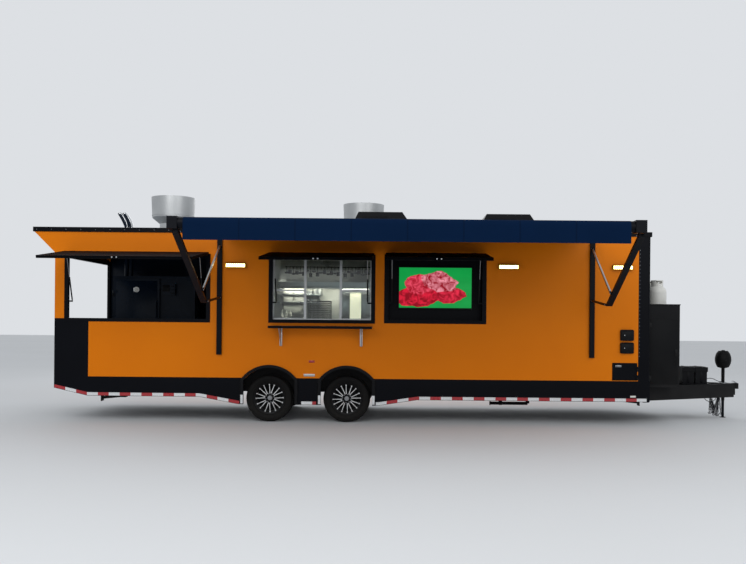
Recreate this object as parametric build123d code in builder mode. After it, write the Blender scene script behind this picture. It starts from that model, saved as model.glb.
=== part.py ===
import os
from math import cos, radians, sin, sqrt

from build123d import *

# Barbecue smoker trailer, millimetres. Sizes are first given from the rear edge of the body (x, forward),
# the centreline (y, positive to the roadside) and the ground (z). save() then moves each piece so that
# the origin is the centre of the coupler's ball.

# Body shell
body_length = 9752
body_width = 2590
wall = 45                  # thickness of the sandwich walls
skirt_sheet = 25
floor_top = 722            # also the line between the paint and the black skirt
floor_thick = 50
wall_top = 3090
roof_rail = 72
roof_crown = 40
visor_reach = 346          # overhang of the roof past the rear edge
visor_low = 2744

# Running gear
tyre_radius = 385
tyre_width = 235
rim_radius = 262
wheel_face = 1270          # outer sidewall from the centreline
axle_x = (3520, 4788)
rail_y = 930
rail_wide = 60
rail_high = 200
axle_square = 76

# Tongue
tongue_length = 1868       # front wall to the end of the A-frame beams
tongue_top = 610
tongue_high = 242
ball_height = 556
ball_x = body_length + tongue_length + 57
ball_radius = 29.4         # 2-5/16 inch ball
jack_x = body_length + tongue_length - 168
jack_foot_radius = 52
jack_tube = 29             # outer tube, radius

# Openings in the curbside wall: x from, x to, z from, z to, outer edges of the black frames
frame_bar = 68
frame_proud = 5
porch = (157, 2546, 1620, 2745)
serving = (3498, 5245, 1625, 2752)
screen = (5392, 7065, 1632, 2764)

half = body_width / 2
inside = half - wall
parts_folder = "parts"
os.makedirs(parts_folder, exist_ok=True)
to_ball = Location((-ball_x, 0, -ball_height))


def save(piece, name):
    moved = piece.part.moved(to_ball)
    moved.label = name
    export_step(moved, os.path.join(parts_folder, name + ".step"))


def block(x, y, z, mode=Mode.ADD):
    """A box between pairs of limits."""
    with Locations(((x[0] + x[1]) / 2, (y[0] + y[1]) / 2, (z[0] + z[1]) / 2)):
        Box(x[1] - x[0], y[1] - y[0], z[1] - z[0], mode=mode)


def flat(point):
    """A point of the trailer in a sketch on a cross plane."""
    return point.Y, point.Z


def oblong(x, z, mode=Mode.ADD):
    """A rectangle between pairs of limits, in a sketch."""
    with Locations(((x[0] + x[1]) / 2, (z[0] + z[1]) / 2)):
        Rectangle(x[1] - x[0], z[1] - z[0], mode=mode)


def side_plane(y):
    """Looks at the curbside wall: sketch x runs forward, sketch y up, extrusions go to -Y."""
    return Plane(origin=(0, y, 0), x_dir=(1, 0, 0), z_dir=(0, -1, 0))


def cross_plane(x):
    """Section across the trailer: sketch x runs to the roadside, sketch y up, extrusions go forward."""
    return Plane(origin=(x, 0, 0), x_dir=(0, 1, 0), z_dir=(1, 0, 0))


# Wheel arches: an arc over the tyre with a straight leg at each side
arch_half = 420
arch_crown = 890
arch_radius = 525
flare_band = 45
flare_proud = 26


def arch(x, grow, bottom):
    """Outline of a wheel arch about x, made larger by grow."""
    reach, radius = arch_half + grow, arch_radius + grow
    centre = arch_crown - arch_radius
    spring = centre + sqrt(radius ** 2 - reach ** 2)
    Polyline((x - reach, spring), (x - reach, bottom), (x + reach, bottom), (x + reach, spring))
    ThreePointArc((x - reach, spring), (x, centre + radius), (x + reach, spring))


# Floor of plates with the wheel boxes on it. Welded members and plates are separate solids.
weld_gap = 0.3             # left where two of them meet
well_x = (axle_x[0] - 470, axle_x[1] + 470)
well_y = wheel_face - tyre_width - 50
well_top = 940
well_sheet = 15
with BuildPart() as floor_deck:
    deck_z = (floor_top - floor_thick, floor_top)
    well_z = (floor_top + weld_gap, well_top - well_sheet - weld_gap)
    well_ends = (well_x[0] - well_sheet, well_x[1] + well_sheet)
    block((0, body_length), (-well_y, well_y), deck_z)
    for side in (-1, 1):
        beside = sorted((side * (well_y + weld_gap), side * (half - skirt_sheet)))
        block((0, well_x[0]), beside, deck_z)
        block((well_x[1], body_length), beside, deck_z)
        block(well_ends, sorted((side * well_y, side * (well_y - well_sheet))), well_z)
        block(well_ends, sorted((side * (well_y - well_sheet), side * inside)),
              (well_top - well_sheet, well_top))
        for end in ((well_ends[0], well_x[0]), (well_x[1], well_ends[1])):
            block(end, sorted((side * (well_y + weld_gap), side * inside)), well_z)
save(floor_deck, "floor_deck")

# Ladder chassis with the A-frame
rail_z = (floor_top - floor_thick - rail_high, floor_top - floor_thick)
cross_x = (60, 640, 1240, 1840, 2440, 3010, 3780, 4150, 4530, 5300, 5900, 6500, 7100, 7700, 8300, 8900)
header_x = (body_length - 90, body_length)
tongue_z = (tongue_top - tongue_high, tongue_top)
tongue_end = body_length + tongue_length
tongue_root_y = 950
tongue_tip_y = 75
tongue_wide = 70
stabiliser_x = ((1100, -1), (9250, 1))
stabiliser_y = half - 175
stabiliser_drop = 270      # leg pivot below the deck
stabiliser_pin = 9
tank_x = (7215, 7915)      # waste tank slung under the deck
tank_half = 520
tank_low = 306
cross_wide = 50
cross_z = (rail_z[1] - 90, rail_z[1])
tip_x = tongue_end - 260   # from here on the beams and the plate between them are one piece
tongue_bar_x = (body_length + 560, body_length + 620)


def beam_y(x):
    """Outer edge of the A-frame's beam at x."""
    return tongue_root_y - (tongue_root_y - tongue_tip_y) * (x - header_x[1]) / tongue_length


def beam(x, side):
    """Outline of a length of one A-frame beam between two limits along the trailer."""
    Polyline((x[0], side * beam_y(x[0])), (x[1], side * beam_y(x[1])),
             (x[1], side * (beam_y(x[1]) - tongue_wide)), (x[0], side * (beam_y(x[0]) - tongue_wide)),
             close=True)


with BuildPart() as chassis_frame:
    for side in (-1, 1):
        block((20, header_x[0] - weld_gap), (side * rail_y - rail_wide / 2, side * rail_y + rail_wide / 2),
              rail_z)
    for x in cross_x:
        between = rail_y - rail_wide / 2 - weld_gap
        block((x, x + cross_wide), (-between, between), cross_z)
        if not well_x[0] < x < well_x[1]:
            for side in (-1, 1):
                outrigger = sorted((side * (rail_y + rail_wide / 2 + weld_gap), side * (inside - 10)))
                block((x, x + cross_wide), outrigger, cross_z)
    block(header_x, (-inside + 10, inside - 10), (tongue_z[0], rail_z[1]))
    for side in (-1, 1):
        with BuildSketch(Plane.XY.offset(tongue_z[0])):
            with BuildLine():
                beam((header_x[1] + weld_gap, tip_x - weld_gap), side)
            make_face()
        extrude(amount=tongue_high)
    with BuildSketch(Plane.XY.offset(tongue_z[0])):
        for side in (-1, 1):
            with BuildLine():
                beam((tip_x, tongue_end), side)
            make_face()
        oblong((tip_x, tongue_end), (-tongue_tip_y, tongue_tip_y))
        with Locations((jack_x, 0)):
            Circle(jack_tube + 0.3, mode=Mode.SUBTRACT)
    extrude(amount=tongue_high)
    with BuildSketch(Plane.XY.offset(tongue_z[0])):
        with BuildLine():
            near, far = (beam_y(x) - tongue_wide - weld_gap for x in tongue_bar_x)
            Polyline((tongue_bar_x[0], near), (tongue_bar_x[1], far), (tongue_bar_x[1], -far),
                     (tongue_bar_x[0], -near), close=True)
        make_face()
    extrude(amount=tongue_high)
    block(tank_x, (-tank_half, tank_half), (tank_low, cross_z[0] - weld_gap))
    for x, turn in stabiliser_x:
        for side in (-1, 1):
            for y in (side * stabiliser_y - 42, side * stabiliser_y + 30):
                block((x - 40, x + 40), (y, y + 12), (rail_z[1] - stabiliser_drop - 30, rail_z[1]))
            with Locations(Location((x, side * stabiliser_y, rail_z[1] - stabiliser_drop), (90, 0, 0))):
                Cylinder(stabiliser_pin, 84)
save(chassis_frame, "chassis_frame")

# Coupler: the channel that bolts to the A-frame and the blind ball socket
socket_depth = 74
socket_mouth = 42          # below the ball's centre
coupler_roof = 28
with BuildPart() as coupler:
    with BuildSketch(Plane.XY.offset(ball_height - socket_mouth)):
        with BuildLine():
            Polyline((tongue_end + 0.3, -70), (ball_x - 30, -52))
            ThreePointArc((ball_x - 30, -52), (ball_x + 52, 0), (ball_x - 30, 52))
            Polyline((ball_x - 30, 52), (tongue_end + 0.3, 70), (tongue_end + 0.3, -70))
        make_face()
    extrude(amount=socket_depth + coupler_roof)
    fillet(coupler.edges().group_by(Axis.Z)[-1], 18)
    with BuildSketch(Plane.XY.offset(ball_height - socket_mouth)):
        with Locations((ball_x, 0)):
            Circle(ball_radius + 0.6)
    extrude(amount=socket_depth, mode=Mode.SUBTRACT)
    block((tongue_end + 0.3, tongue_end + 25), (-70, 70), (tongue_z[0] + 40, ball_height - socket_mouth))
save(coupler, "coupler")

# Tongue jack: gearbox head, outer tube, and the leg that carries the tongue
jack_bore = 24.5
jack_leg_radius = 24
jack_leg_long = 552
jack_head_low = 876
jack_low = 300
jack_head_top = 1188
with BuildPart() as tongue_jack:
    with BuildSketch(Plane(origin=(jack_x, 0, 0), x_dir=(1, 0, 0), z_dir=(0, -1, 0))):
        with BuildLine():
            Polyline((jack_bore, jack_low), (jack_tube, jack_low), (jack_tube, jack_head_low),
                     (95, jack_head_low + 20))
            ThreePointArc((95, jack_head_low + 20), (138, 1010), (110, 1150))
            Polyline((110, 1150), (80, jack_head_top), (0, jack_head_top), (0, jack_head_low + 40),
                     (jack_bore, jack_head_low + 40), (jack_bore, jack_low))
        make_face()
    revolve(axis=Axis((jack_x, 0, 0), (0, 0, 1)))
save(tongue_jack, "tongue_jack")

with BuildPart() as jack_leg:
    with Locations((jack_x, 0, 8)):
        Cylinder(jack_leg_radius, jack_leg_long, align=(Align.CENTER, Align.CENTER, Align.MIN))
    with Locations((jack_x, 0, 0)):
        Cylinder(jack_foot_radius, 8, align=(Align.CENTER, Align.CENTER, Align.MIN))
save(jack_leg, "jack_leg")

# Torsion axles: square tube, trailing arms, spindles and drums
axle_z = rail_z[0] - axle_square / 2
arm_reach = 150
drum_radius = 150
hub_bore = 40
hub_y = wheel_face - tyre_width / 2
with BuildPart() as axles:
    for x in axle_x:
        tube_x = x + arm_reach
        block((tube_x - axle_square / 2, tube_x + axle_square / 2), (-970, 970),
              (axle_z - axle_square / 2, axle_z + axle_square / 2))
        for side in (-1, 1):
            with BuildSketch(side_plane(side * 970 + (0 if side < 0 else 30))):
                with Locations((tube_x, axle_z)):
                    Circle(52)
                with Locations((x, tyre_radius)):
                    Circle(48)
                with BuildLine():
                    Polyline((x, tyre_radius + 40), (tube_x, axle_z + 45), (tube_x, axle_z - 45),
                             (x, tyre_radius - 40), close=True)
                make_face()
            extrude(amount=30)
            near, far = sorted((side * 1000, side * 1055))
            with Locations(Location(((x, (near + far) / 2, tyre_radius)), (90, 0, 0))):
                Cylinder(drum_radius, far - near)
            near, far = sorted((side * 1055, side * (hub_y + 12)))
            with Locations(Location(((x, (near + far) / 2, tyre_radius)), (90, 0, 0))):
                Cylinder(hub_bore - 0.3, far - near)
save(axles, "axles")

# Wheels: tyre and rim, made at the curbside and placed at each corner
rim_bead = 243
rim_well = 222            # radius of the drop centre
spoke_count = 8
spoke_lean = 11            # degrees from the pair's middle
spoke_wide = 18
spoke_deep = 34
spoke_reach = 238          # from the hub's centre to the tips, which meet the drop centre
bulge_low = 280            # radii where the sidewall starts to bulge and is widest
bulge = 322
hub_radius = 105
for axle, x in zip(("front", "rear"), reversed(axle_x)):
    for name, side in (("curbside", -1), ("roadside", 1)):
        centre = Vector(x, side * hub_y, tyre_radius)
        spin = Axis(centre, (0, 1, 0))
        section = Plane(origin=centre, x_dir=(0, side, 0), z_dir=(side, 0, 0))
        wide = tyre_width / 2
        with BuildPart() as tyre:
            with BuildSketch(section):
                with BuildLine():
                    shoulder = tyre_radius - 10
                    Polyline((-wide + 23, rim_bead + 0.3), (-wide + 19.5, rim_radius + 1),
                             (-wide + 6, bulge_low))
                    ThreePointArc((-wide + 6, bulge_low), (-wide, bulge), (-wide + 22, shoulder))
                    ThreePointArc((-wide + 22, shoulder), (0, tyre_radius), (wide - 22, shoulder))
                    ThreePointArc((wide - 22, shoulder), (wide, bulge), (wide - 6, bulge_low))
                    Polyline((wide - 6, bulge_low), (wide - 19.5, rim_radius + 1), (wide - 23, rim_bead + 0.3),
                             (wide - 45, rim_bead + 0.3), (wide - 20, bulge), (wide - 40, tyre_radius - 24),
                             (-wide + 40, tyre_radius - 24), (-wide + 20, bulge),
                             (-wide + 45, rim_bead + 0.3), (-wide + 23, rim_bead + 0.3))
                make_face()
            revolve(axis=spin)
        save(tyre, f"tyre_{axle}_{name}")
        with BuildPart() as rim:
            with BuildSketch(section):
                with BuildLine():
                    Polyline((-wide + 19, rim_radius), (-wide + 22.7, rim_bead), (-50, rim_bead),
                             (-40, rim_well), (40, rim_well), (50, rim_bead), (wide - 22.7, rim_bead),
                             (wide - 19, rim_radius), (wide - 12, rim_radius), (wide - 16, rim_bead - 7),
                             (55, rim_bead - 9), (45, rim_well - 8), (-45, rim_well - 8),
                             (-55, rim_bead - 9), (-wide + 16, rim_bead - 7), (-wide + 12, rim_radius),
                             close=True)
                make_face()
                with Locations((28, (hub_radius + hub_bore) / 2)):
                    Rectangle(32, hub_radius - hub_bore)
            revolve(axis=spin)
            with BuildSketch(Plane(origin=centre + Vector(0, side * 14, 0), x_dir=(1, 0, 0),
                                   z_dir=(0, side, 0))):
                with PolarLocations(0, spoke_count):
                    for lean in (-spoke_lean, spoke_lean):
                        with Locations(Location((0, 0, 0), (0, 0, lean))):
                            with Locations(((hub_radius + spoke_reach) / 2 - 8, 0)):
                                Rectangle(spoke_reach - hub_radius + 16, spoke_wide)
            extrude(amount=spoke_deep)
            with BuildSketch(Plane(origin=centre + Vector(0, side * 14, 0), x_dir=(1, 0, 0),
                                   z_dir=(0, side, 0))):
                Circle(spoke_reach)
                Circle(rim_well - 6, mode=Mode.SUBTRACT)
            extrude(amount=spoke_deep)
        save(rim, f"rim_{axle}_{name}")

# Black lower corner panels, paint line and the front corner posts
corner_long = 557
corner_high = 1620
post_wide = 157
post_low = 1670
front_post = 197
front_post_x = body_length - front_post
hatchway_x = (9131, 9545)          # small access door in the front corner, above the floor
hatchway_z = (floor_top + 8, 1020)
skirt_line = ((0, 532), (555, 406), (2383, 403), (3020, 288), (5310, 283), (5945, 380), (body_length, 381))
entry_x = (7560, 8370)
entry_z = (floor_top, 2700)
entry_hinge_z = (1000, 1700, 2400)
hatchway_hinge_z = (hatchway_z[0] + 50, hatchway_z[1] - 100)


def side_wall(side):
    """The painted sandwich wall of one side, with the sides of the visor over the rear."""
    with BuildPart() as part:
        with BuildSketch(side_plane(-inside if side < 0 else half)):
            with BuildLine():
                Polyline((0, post_low), (0, visor_low), (-visor_reach, wall_top),
                         (front_post_x, wall_top), (front_post_x, floor_top),
                         (corner_long, floor_top), (corner_long, corner_high), (post_wide, corner_high),
                         (post_wide, post_low), (0, post_low))
            make_face()
            for x in axle_x:
                with BuildLine():
                    arch(x, 0, floor_top - 50)
                make_face(mode=Mode.SUBTRACT)
            if side < 0:
                for opening in (porch, serving, screen):
                    oblong(opening[:2], opening[2:], mode=Mode.SUBTRACT)
                oblong(hatchway_x, hatchway_z, mode=Mode.SUBTRACT)
            else:
                oblong(entry_x, entry_z, mode=Mode.SUBTRACT)
        extrude(amount=wall)
    return part


wall_curbside = side_wall(-1)
save(wall_curbside, "wall_curbside")
wall_roadside = side_wall(1)
save(wall_roadside, "wall_roadside")

# Black panels: skirts, rear corners and front corner posts
with BuildPart() as lower_panels:
    for y in (-half + skirt_sheet, half):
        with BuildSketch(side_plane(y)):
            with BuildLine():
                Polyline((0, floor_top), *skirt_line, (body_length, floor_top), (0, floor_top))
            make_face()
            for x in axle_x:
                with BuildLine():
                    arch(x, 0, 0)
                make_face(mode=Mode.SUBTRACT)
        extrude(amount=skirt_sheet)
    for y in (-inside, half):
        with BuildSketch(side_plane(y)):
            with BuildLine():
                Polyline((0, floor_top), (corner_long, floor_top), (corner_long, corner_high),
                         (post_wide, corner_high), (post_wide, post_low), (0, post_low), (0, floor_top))
            make_face()
        extrude(amount=wall)
    for side in (-1, 1):
        with BuildSketch(Plane.XY.offset(floor_top)):
            with BuildLine():
                Polyline((front_post_x, side * half), (body_length - 40, side * half))
                RadiusArc((body_length - 40, side * half), (body_length, side * (half - 40)), side * 40)
                Polyline((body_length, side * (half - 40)), (body_length, side * 1150),
                         (body_length - wall, side * 1150), (body_length - wall, side * inside),
                         (front_post_x, side * inside), (front_post_x, side * half))
            make_face()
        extrude(amount=wall_top - floor_top)
save(lower_panels, "lower_panels")

with BuildPart() as wall_front:
    block((body_length - wall, body_length), (-1150, 1150), (floor_top, wall_top))
save(wall_front, "wall_front")

# Fender flares round the four arches
with BuildPart() as fender_flares:
    for y in (-half, half + flare_proud):
        for x in axle_x:
            with BuildSketch(side_plane(y)):
                with BuildLine():
                    arch(x, flare_band, 300)
                make_face()
                with BuildLine():
                    arch(x, 0, 200)
                make_face(mode=Mode.SUBTRACT)
            extrude(amount=flare_proud)
save(fender_flares, "fender_flares")

# Porch partition with its doorway
partition_x = (2560, 2600)
doorway_y = (-420, 330)
doorway_z = (floor_top, 2650)
with BuildPart() as partition:
    with BuildSketch(cross_plane(partition_x[0])):
        oblong((-inside, inside), (floor_top, wall_top))
        oblong(doorway_y, doorway_z, mode=Mode.SUBTRACT)
    extrude(amount=partition_x[1] - partition_x[0])
save(partition, "partition")

# Roof panel, with the smoker's flue holes, and the black rail round its edge
roof_side = wall_top + roof_rail - 20
roof_top = roof_side + roof_crown
flue_x = (510, 596)
flue_y = 760
flue_radius = 38
with BuildPart() as roof:
    with BuildSketch(cross_plane(-visor_reach)):
        with BuildLine():
            Polyline((-half, wall_top), (-half, roof_side), (-half + 195, roof_top), (half - 195, roof_top),
                     (half, roof_side), (half, wall_top), (-half, wall_top))
        make_face()
    extrude(amount=body_length + visor_reach)
    for x in flue_x:
        with Locations((x, flue_y, wall_top + 50)):
            Cylinder(flue_radius + 4, 200, mode=Mode.SUBTRACT)
save(roof, "roof")

rail_sheet = 14
with BuildPart() as roof_edge:
    with BuildSketch(Plane.XY.offset(wall_top - 4)):
        oblong((-visor_reach - rail_sheet, body_length + rail_sheet), (-half - rail_sheet, half + rail_sheet))
        oblong((-visor_reach, body_length), (-half, half), mode=Mode.SUBTRACT)
    extrude(amount=roof_rail + 4)
save(roof_edge, "roof_edge")

# Rear frame: posts, header and the visor's soffit
rear_post = 60
header_low = 2690
with BuildPart() as rear_frame:
    with BuildSketch(side_plane(inside)):
        with BuildLine():
            Polyline((0, header_low), (wall, header_low), (wall, visor_low),
                     (-visor_reach + wall, wall_top), (-visor_reach, wall_top), (0, visor_low), (0, header_low))
        make_face()
    extrude(amount=2 * inside)
    for side in (-1, 1):
        across = sorted((side * inside, side * (inside - rear_post)))
        block((0, wall), across, (floor_top, header_low))
save(rear_frame, "rear_frame")

# Rear half doors, hinged at the corner posts
gap = 5
rear_door_top = 1672
hinge_radius = 9
hinge_out = 12
rear_hinge_y = inside - rear_post
rear_hinge_z = (824, 1470)
knuckle = 60


def knuckle_at(x, y, z, on_door):
    """Vertical hinge knuckle: the frame's lies under the door's."""
    low = z + (0.3 if on_door else -knuckle)
    with Locations((x, y, low)):
        Cylinder(hinge_radius, knuckle - 0.3, align=(Align.CENTER, Align.CENTER, Align.MIN))


for name, side in (("curbside", -1), ("roadside", 1)):
    with BuildPart() as rear_door:
        across = sorted((side * gap / 2, side * (rear_hinge_y - gap)))
        block((2, wall - 3), across, (floor_top + gap, rear_door_top))
        for z in rear_hinge_z:
            knuckle_at(-hinge_out, side * rear_hinge_y, z, True)
            leaf = sorted((side * rear_hinge_y, side * (rear_hinge_y - 60)))
            block((-hinge_out - 3, -hinge_out + 3), leaf, (z + 0.3, z + knuckle))
            leaf = sorted((side * (rear_hinge_y - 20), side * (rear_hinge_y - 60)))
            block((-hinge_out + 3, 2), leaf, (z + 0.3, z + knuckle))
    save(rear_door, f"rear_door_{name}")

# Black frames of the three openings in the curbside wall
with BuildPart() as opening_frames:
    for x0, x1, z0, z1 in (porch, serving, screen):
        with BuildSketch(side_plane(-inside)):
            oblong((x0, x1), (z0, z1))
            oblong((x0 + frame_bar, x1 - frame_bar), (z0 + frame_bar - 11, z1 - frame_bar), mode=Mode.SUBTRACT)
        extrude(amount=wall + frame_proud)
save(opening_frames, "opening_frames")

# Serving window: aluminium frame with two mullions and a sash rail at each side, and its panes
window_lap = 26
window_bar = 40
window_deep = 40
mullion_x = (4093, 4677)
sash_z = 2161
glass_thick = 6
window_x = (serving[0] + frame_bar - window_lap, serving[1] - frame_bar + window_lap)
window_z = (serving[2] + frame_bar - 11 - window_lap, serving[3] - frame_bar + window_lap)
panes = ((window_x[0] + window_bar, mullion_x[0] - window_bar / 2),
         (mullion_x[0] + window_bar / 2, mullion_x[1] - window_bar / 2),
         (mullion_x[1] + window_bar / 2, window_x[1] - window_bar))
with BuildPart() as window_frame:
    with BuildSketch(side_plane(-inside + window_deep)):
        oblong(window_x, window_z)
        for x in panes:
            oblong(x, (window_z[0] + window_bar, window_z[1] - window_bar), mode=Mode.SUBTRACT)
        for x in (panes[0], panes[2]):
            oblong(x, (sash_z - 14, sash_z + 14))
    extrude(amount=window_deep)
save(window_frame, "window_frame")
with BuildPart() as window_glass:
    for x in panes:
        tall = (window_z[0] + window_bar, window_z[1] - window_bar)
        levels = (tall,) if x == panes[1] else ((tall[0], sash_z - 14), (sash_z + 14, tall[1]))
        for z in levels:
            block(x, (-inside + 12, -inside + 12 + glass_thick), z)
save(window_glass, "window_glass")

# Screen cabinet let into the wall, and the flat screen on its wall mount
cabinet_wall = 20
cabinet_deep = 170
cabinet_x = (screen[0] + frame_bar - cabinet_wall, screen[1] - frame_bar + cabinet_wall)
cabinet_z = (screen[2] + frame_bar - 11 - cabinet_wall, screen[3] - frame_bar + cabinet_wall)
panel_x = (5619, 6846)
panel_z = (1872, 2573)
panel_y = (-inside + 80, -inside + 135)
with BuildPart() as screen_cabinet:
    block(cabinet_x, (-inside, -inside + cabinet_deep), cabinet_z)
    block((cabinet_x[0] + cabinet_wall, cabinet_x[1] - cabinet_wall),
          (-inside, -inside + cabinet_deep - cabinet_wall),
          (cabinet_z[0] + cabinet_wall, cabinet_z[1] - cabinet_wall), mode=Mode.SUBTRACT)
save(screen_cabinet, "screen_cabinet")
with BuildPart() as screen_panel:
    block(panel_x, panel_y, panel_z)
    mount_x = (sum(panel_x) / 2 - 200, sum(panel_x) / 2 + 200)
    mount_z = (sum(panel_z) / 2 - 150, sum(panel_z) / 2 + 150)
    block(mount_x, (panel_y[1], -inside + cabinet_deep - cabinet_wall), mount_z)
save(screen_panel, "screen_panel")

# Serving shelf on two gusset brackets
shelf_x = (3543, 5206)
shelf_top = 1577
shelf_thick = 24
shelf_deep = 350
bracket_x = (3711, 5026)
bracket_high = 310
with BuildPart() as serving_shelf:
    block(shelf_x, (-half - shelf_deep, -half), (shelf_top - shelf_thick, shelf_top))
    for x in bracket_x:
        with BuildSketch(Plane(origin=(x - 5, 0, 0), x_dir=(0, -1, 0), z_dir=(-1, 0, 0))):
            with BuildLine():
                Polyline((half, shelf_top - shelf_thick), (half + shelf_deep - 60, shelf_top - shelf_thick),
                         (half + shelf_deep - 60, shelf_top - shelf_thick - 25),
                         (half + 25, shelf_top - shelf_thick - bracket_high),
                         (half, shelf_top - shelf_thick - bracket_high), close=True)
            make_face()
        extrude(amount=-10)
save(serving_shelf, "serving_shelf")

# Hatches: flat lids hinged over the openings, held level by two gas struts each
hatch_open = 82            # degrees from closed, as parked
hatch_thick = 42
hatch_lap = 20             # the lid is this much narrower than its frame at each side
hinge_y = half + 35
hinge_rise = 6
lid_gap = 22
strut_side = 105           # from the lid's edge to the strut
strut_foot = 800           # below the hinge
strut_reach = 200          # along the lid
strut_stand = 62           # from the hinge line to the pin, on the inner side
foot_y = half - 20
tube_long = 410
tube_radius = 11
rod_radius = 5
rod_lap = 40
eye_half = 6
for name, (x0, x1, z0, z1) in (("porch", porch), ("serving", serving), ("screen", screen)):
    pivot = Vector(0, -hinge_y, z1 + hinge_rise)
    tip = radians(90 - hatch_open)
    out = Vector(0, -cos(tip), -sin(tip))
    down = Vector(0, sin(tip), -cos(tip))
    span = (x0 + hatch_lap, x1 - hatch_lap)
    long = z1 - z0 + hinge_rise - 8
    with BuildPart() as hatch:
        lid_plane = Plane(origin=pivot, x_dir=(1, 0, 0), z_dir=down)
        with BuildSketch(lid_plane.offset(lid_gap)):
            oblong(span, (14, long))
        extrude(amount=-hatch_thick)
        for x in (span[0] + 150, sum(span) / 2, span[1] - 150):
            with BuildSketch(cross_plane(x + 0.3)):
                with Locations((pivot.Y, pivot.Z)):
                    Circle(hinge_radius)
                with BuildLine():
                    Polyline(flat(pivot), flat(pivot + out * 40),
                             flat(pivot + out * 40 + down * 10),
                             flat(pivot + down * 8), close=True)
                make_face()
            extrude(amount=knuckle)
        for x, turn in ((span[0] + strut_side, 1), (span[1] - strut_side, -1)):
            eye = pivot + out * strut_reach + down * strut_stand
            root = pivot + out * strut_reach + down * lid_gap
            lug = sorted((x - turn * (eye_half + 0.4), x - turn * (eye_half + 8)))
            with BuildSketch(cross_plane(lug[0])):
                with Locations((eye.Y, eye.Z)):
                    Circle(10)
                with BuildLine():
                    Polyline(flat(root - out * 16), flat(root + out * 16),
                             flat(eye + out * 10), flat(eye - out * 10), close=True)
                make_face()
            extrude(amount=lug[1] - lug[0])
    save(hatch, f"hatch_{name}")

    foot = Vector(0, -foot_y, pivot.Z - strut_foot)
    eye = pivot + out * strut_reach + down * strut_stand
    line = eye - foot
    aim = line.normalized()
    with BuildPart() as tubes:
        for x in (span[0] + strut_side, span[1] - strut_side):
            at = Vector(x, 0, 0)
            with BuildSketch(Plane(origin=foot + at + aim * 27, z_dir=aim)):
                Circle(tube_radius)
            extrude(amount=tube_long - 27)
            with BuildSketch(Plane(origin=foot + at + aim * 34, z_dir=aim)):
                Circle(rod_radius + 1)
            extrude(amount=tube_long, mode=Mode.SUBTRACT)
            across = Vector(0, -aim.Z, aim.Y) * 9
            with BuildSketch(cross_plane(x - eye_half + 1)):
                with Locations((foot.Y, foot.Z)):
                    Circle(11)
                with BuildLine():
                    Polyline(flat(foot + across), flat(foot + aim * 30 + across),
                             flat(foot + aim * 30 - across), flat(foot - across), close=True)
                make_face()
                with Locations((foot.Y, foot.Z)):
                    Circle(5.3, mode=Mode.SUBTRACT)
            extrude(amount=2 * eye_half - 2)
    save(tubes, f"strut_tubes_{name}")
    with BuildPart() as rods:
        for x in (span[0] + strut_side, span[1] - strut_side):
            at = Vector(x, 0, 0)
            start = foot + at + aim * (tube_long - rod_lap)
            with BuildSketch(Plane(origin=start, z_dir=aim)):
                Circle(rod_radius)
            extrude(amount=line.length - tube_long + rod_lap - 8)
            with BuildSketch(cross_plane(x - eye_half)):
                with Locations((eye.Y, eye.Z)):
                    Circle(10)
            extrude(amount=2 * eye_half)
    save(rods, f"strut_rods_{name}")


# Entry door in the roadside wall and the small access door in the curbside corner
door_thick = 40
with BuildPart() as entry_door:
    block((entry_x[0] + gap, entry_x[1] - gap), (half - door_thick, half),
          (entry_z[0] + gap, entry_z[1] - gap))
    for z in entry_hinge_z:
        with Locations((entry_x[1], half + hinge_out, z + 0.3)):
            Cylinder(hinge_radius, knuckle, align=(Align.CENTER, Align.CENTER, Align.MIN))
        block((entry_x[1] - 60, entry_x[1]), (half + hinge_out - 3, half + hinge_out + 3),
              (z + 0.3, z + knuckle))
        block((entry_x[1] - 60, entry_x[1] - 20), (half, half + hinge_out - 3), (z + 0.3, z + knuckle))
    block((entry_x[0] + 60, entry_x[0] + 90), (half, half + 50), (1560, 1740))
save(entry_door, "entry_door")
with BuildPart() as access_door:
    block((hatchway_x[0] + gap, hatchway_x[1] - gap), (-half - 2, -half + skirt_sheet),
          (hatchway_z[0] + gap, hatchway_z[1] - gap))
    for z in hatchway_hinge_z:
        with Locations((hatchway_x[1], -half - hinge_out, z + 0.3)):
            Cylinder(7, 40, align=(Align.CENTER, Align.CENTER, Align.MIN))
        block((hatchway_x[1] - 40, hatchway_x[1]), (-half - hinge_out - 2, -half - hinge_out + 2),
              (z + 0.3, z + 40))
        block((hatchway_x[1] - 40, hatchway_x[1] - 18), (-half - hinge_out + 2, -half - 2),
              (z + 0.3, z + 40))
save(access_door, "access_door")

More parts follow.
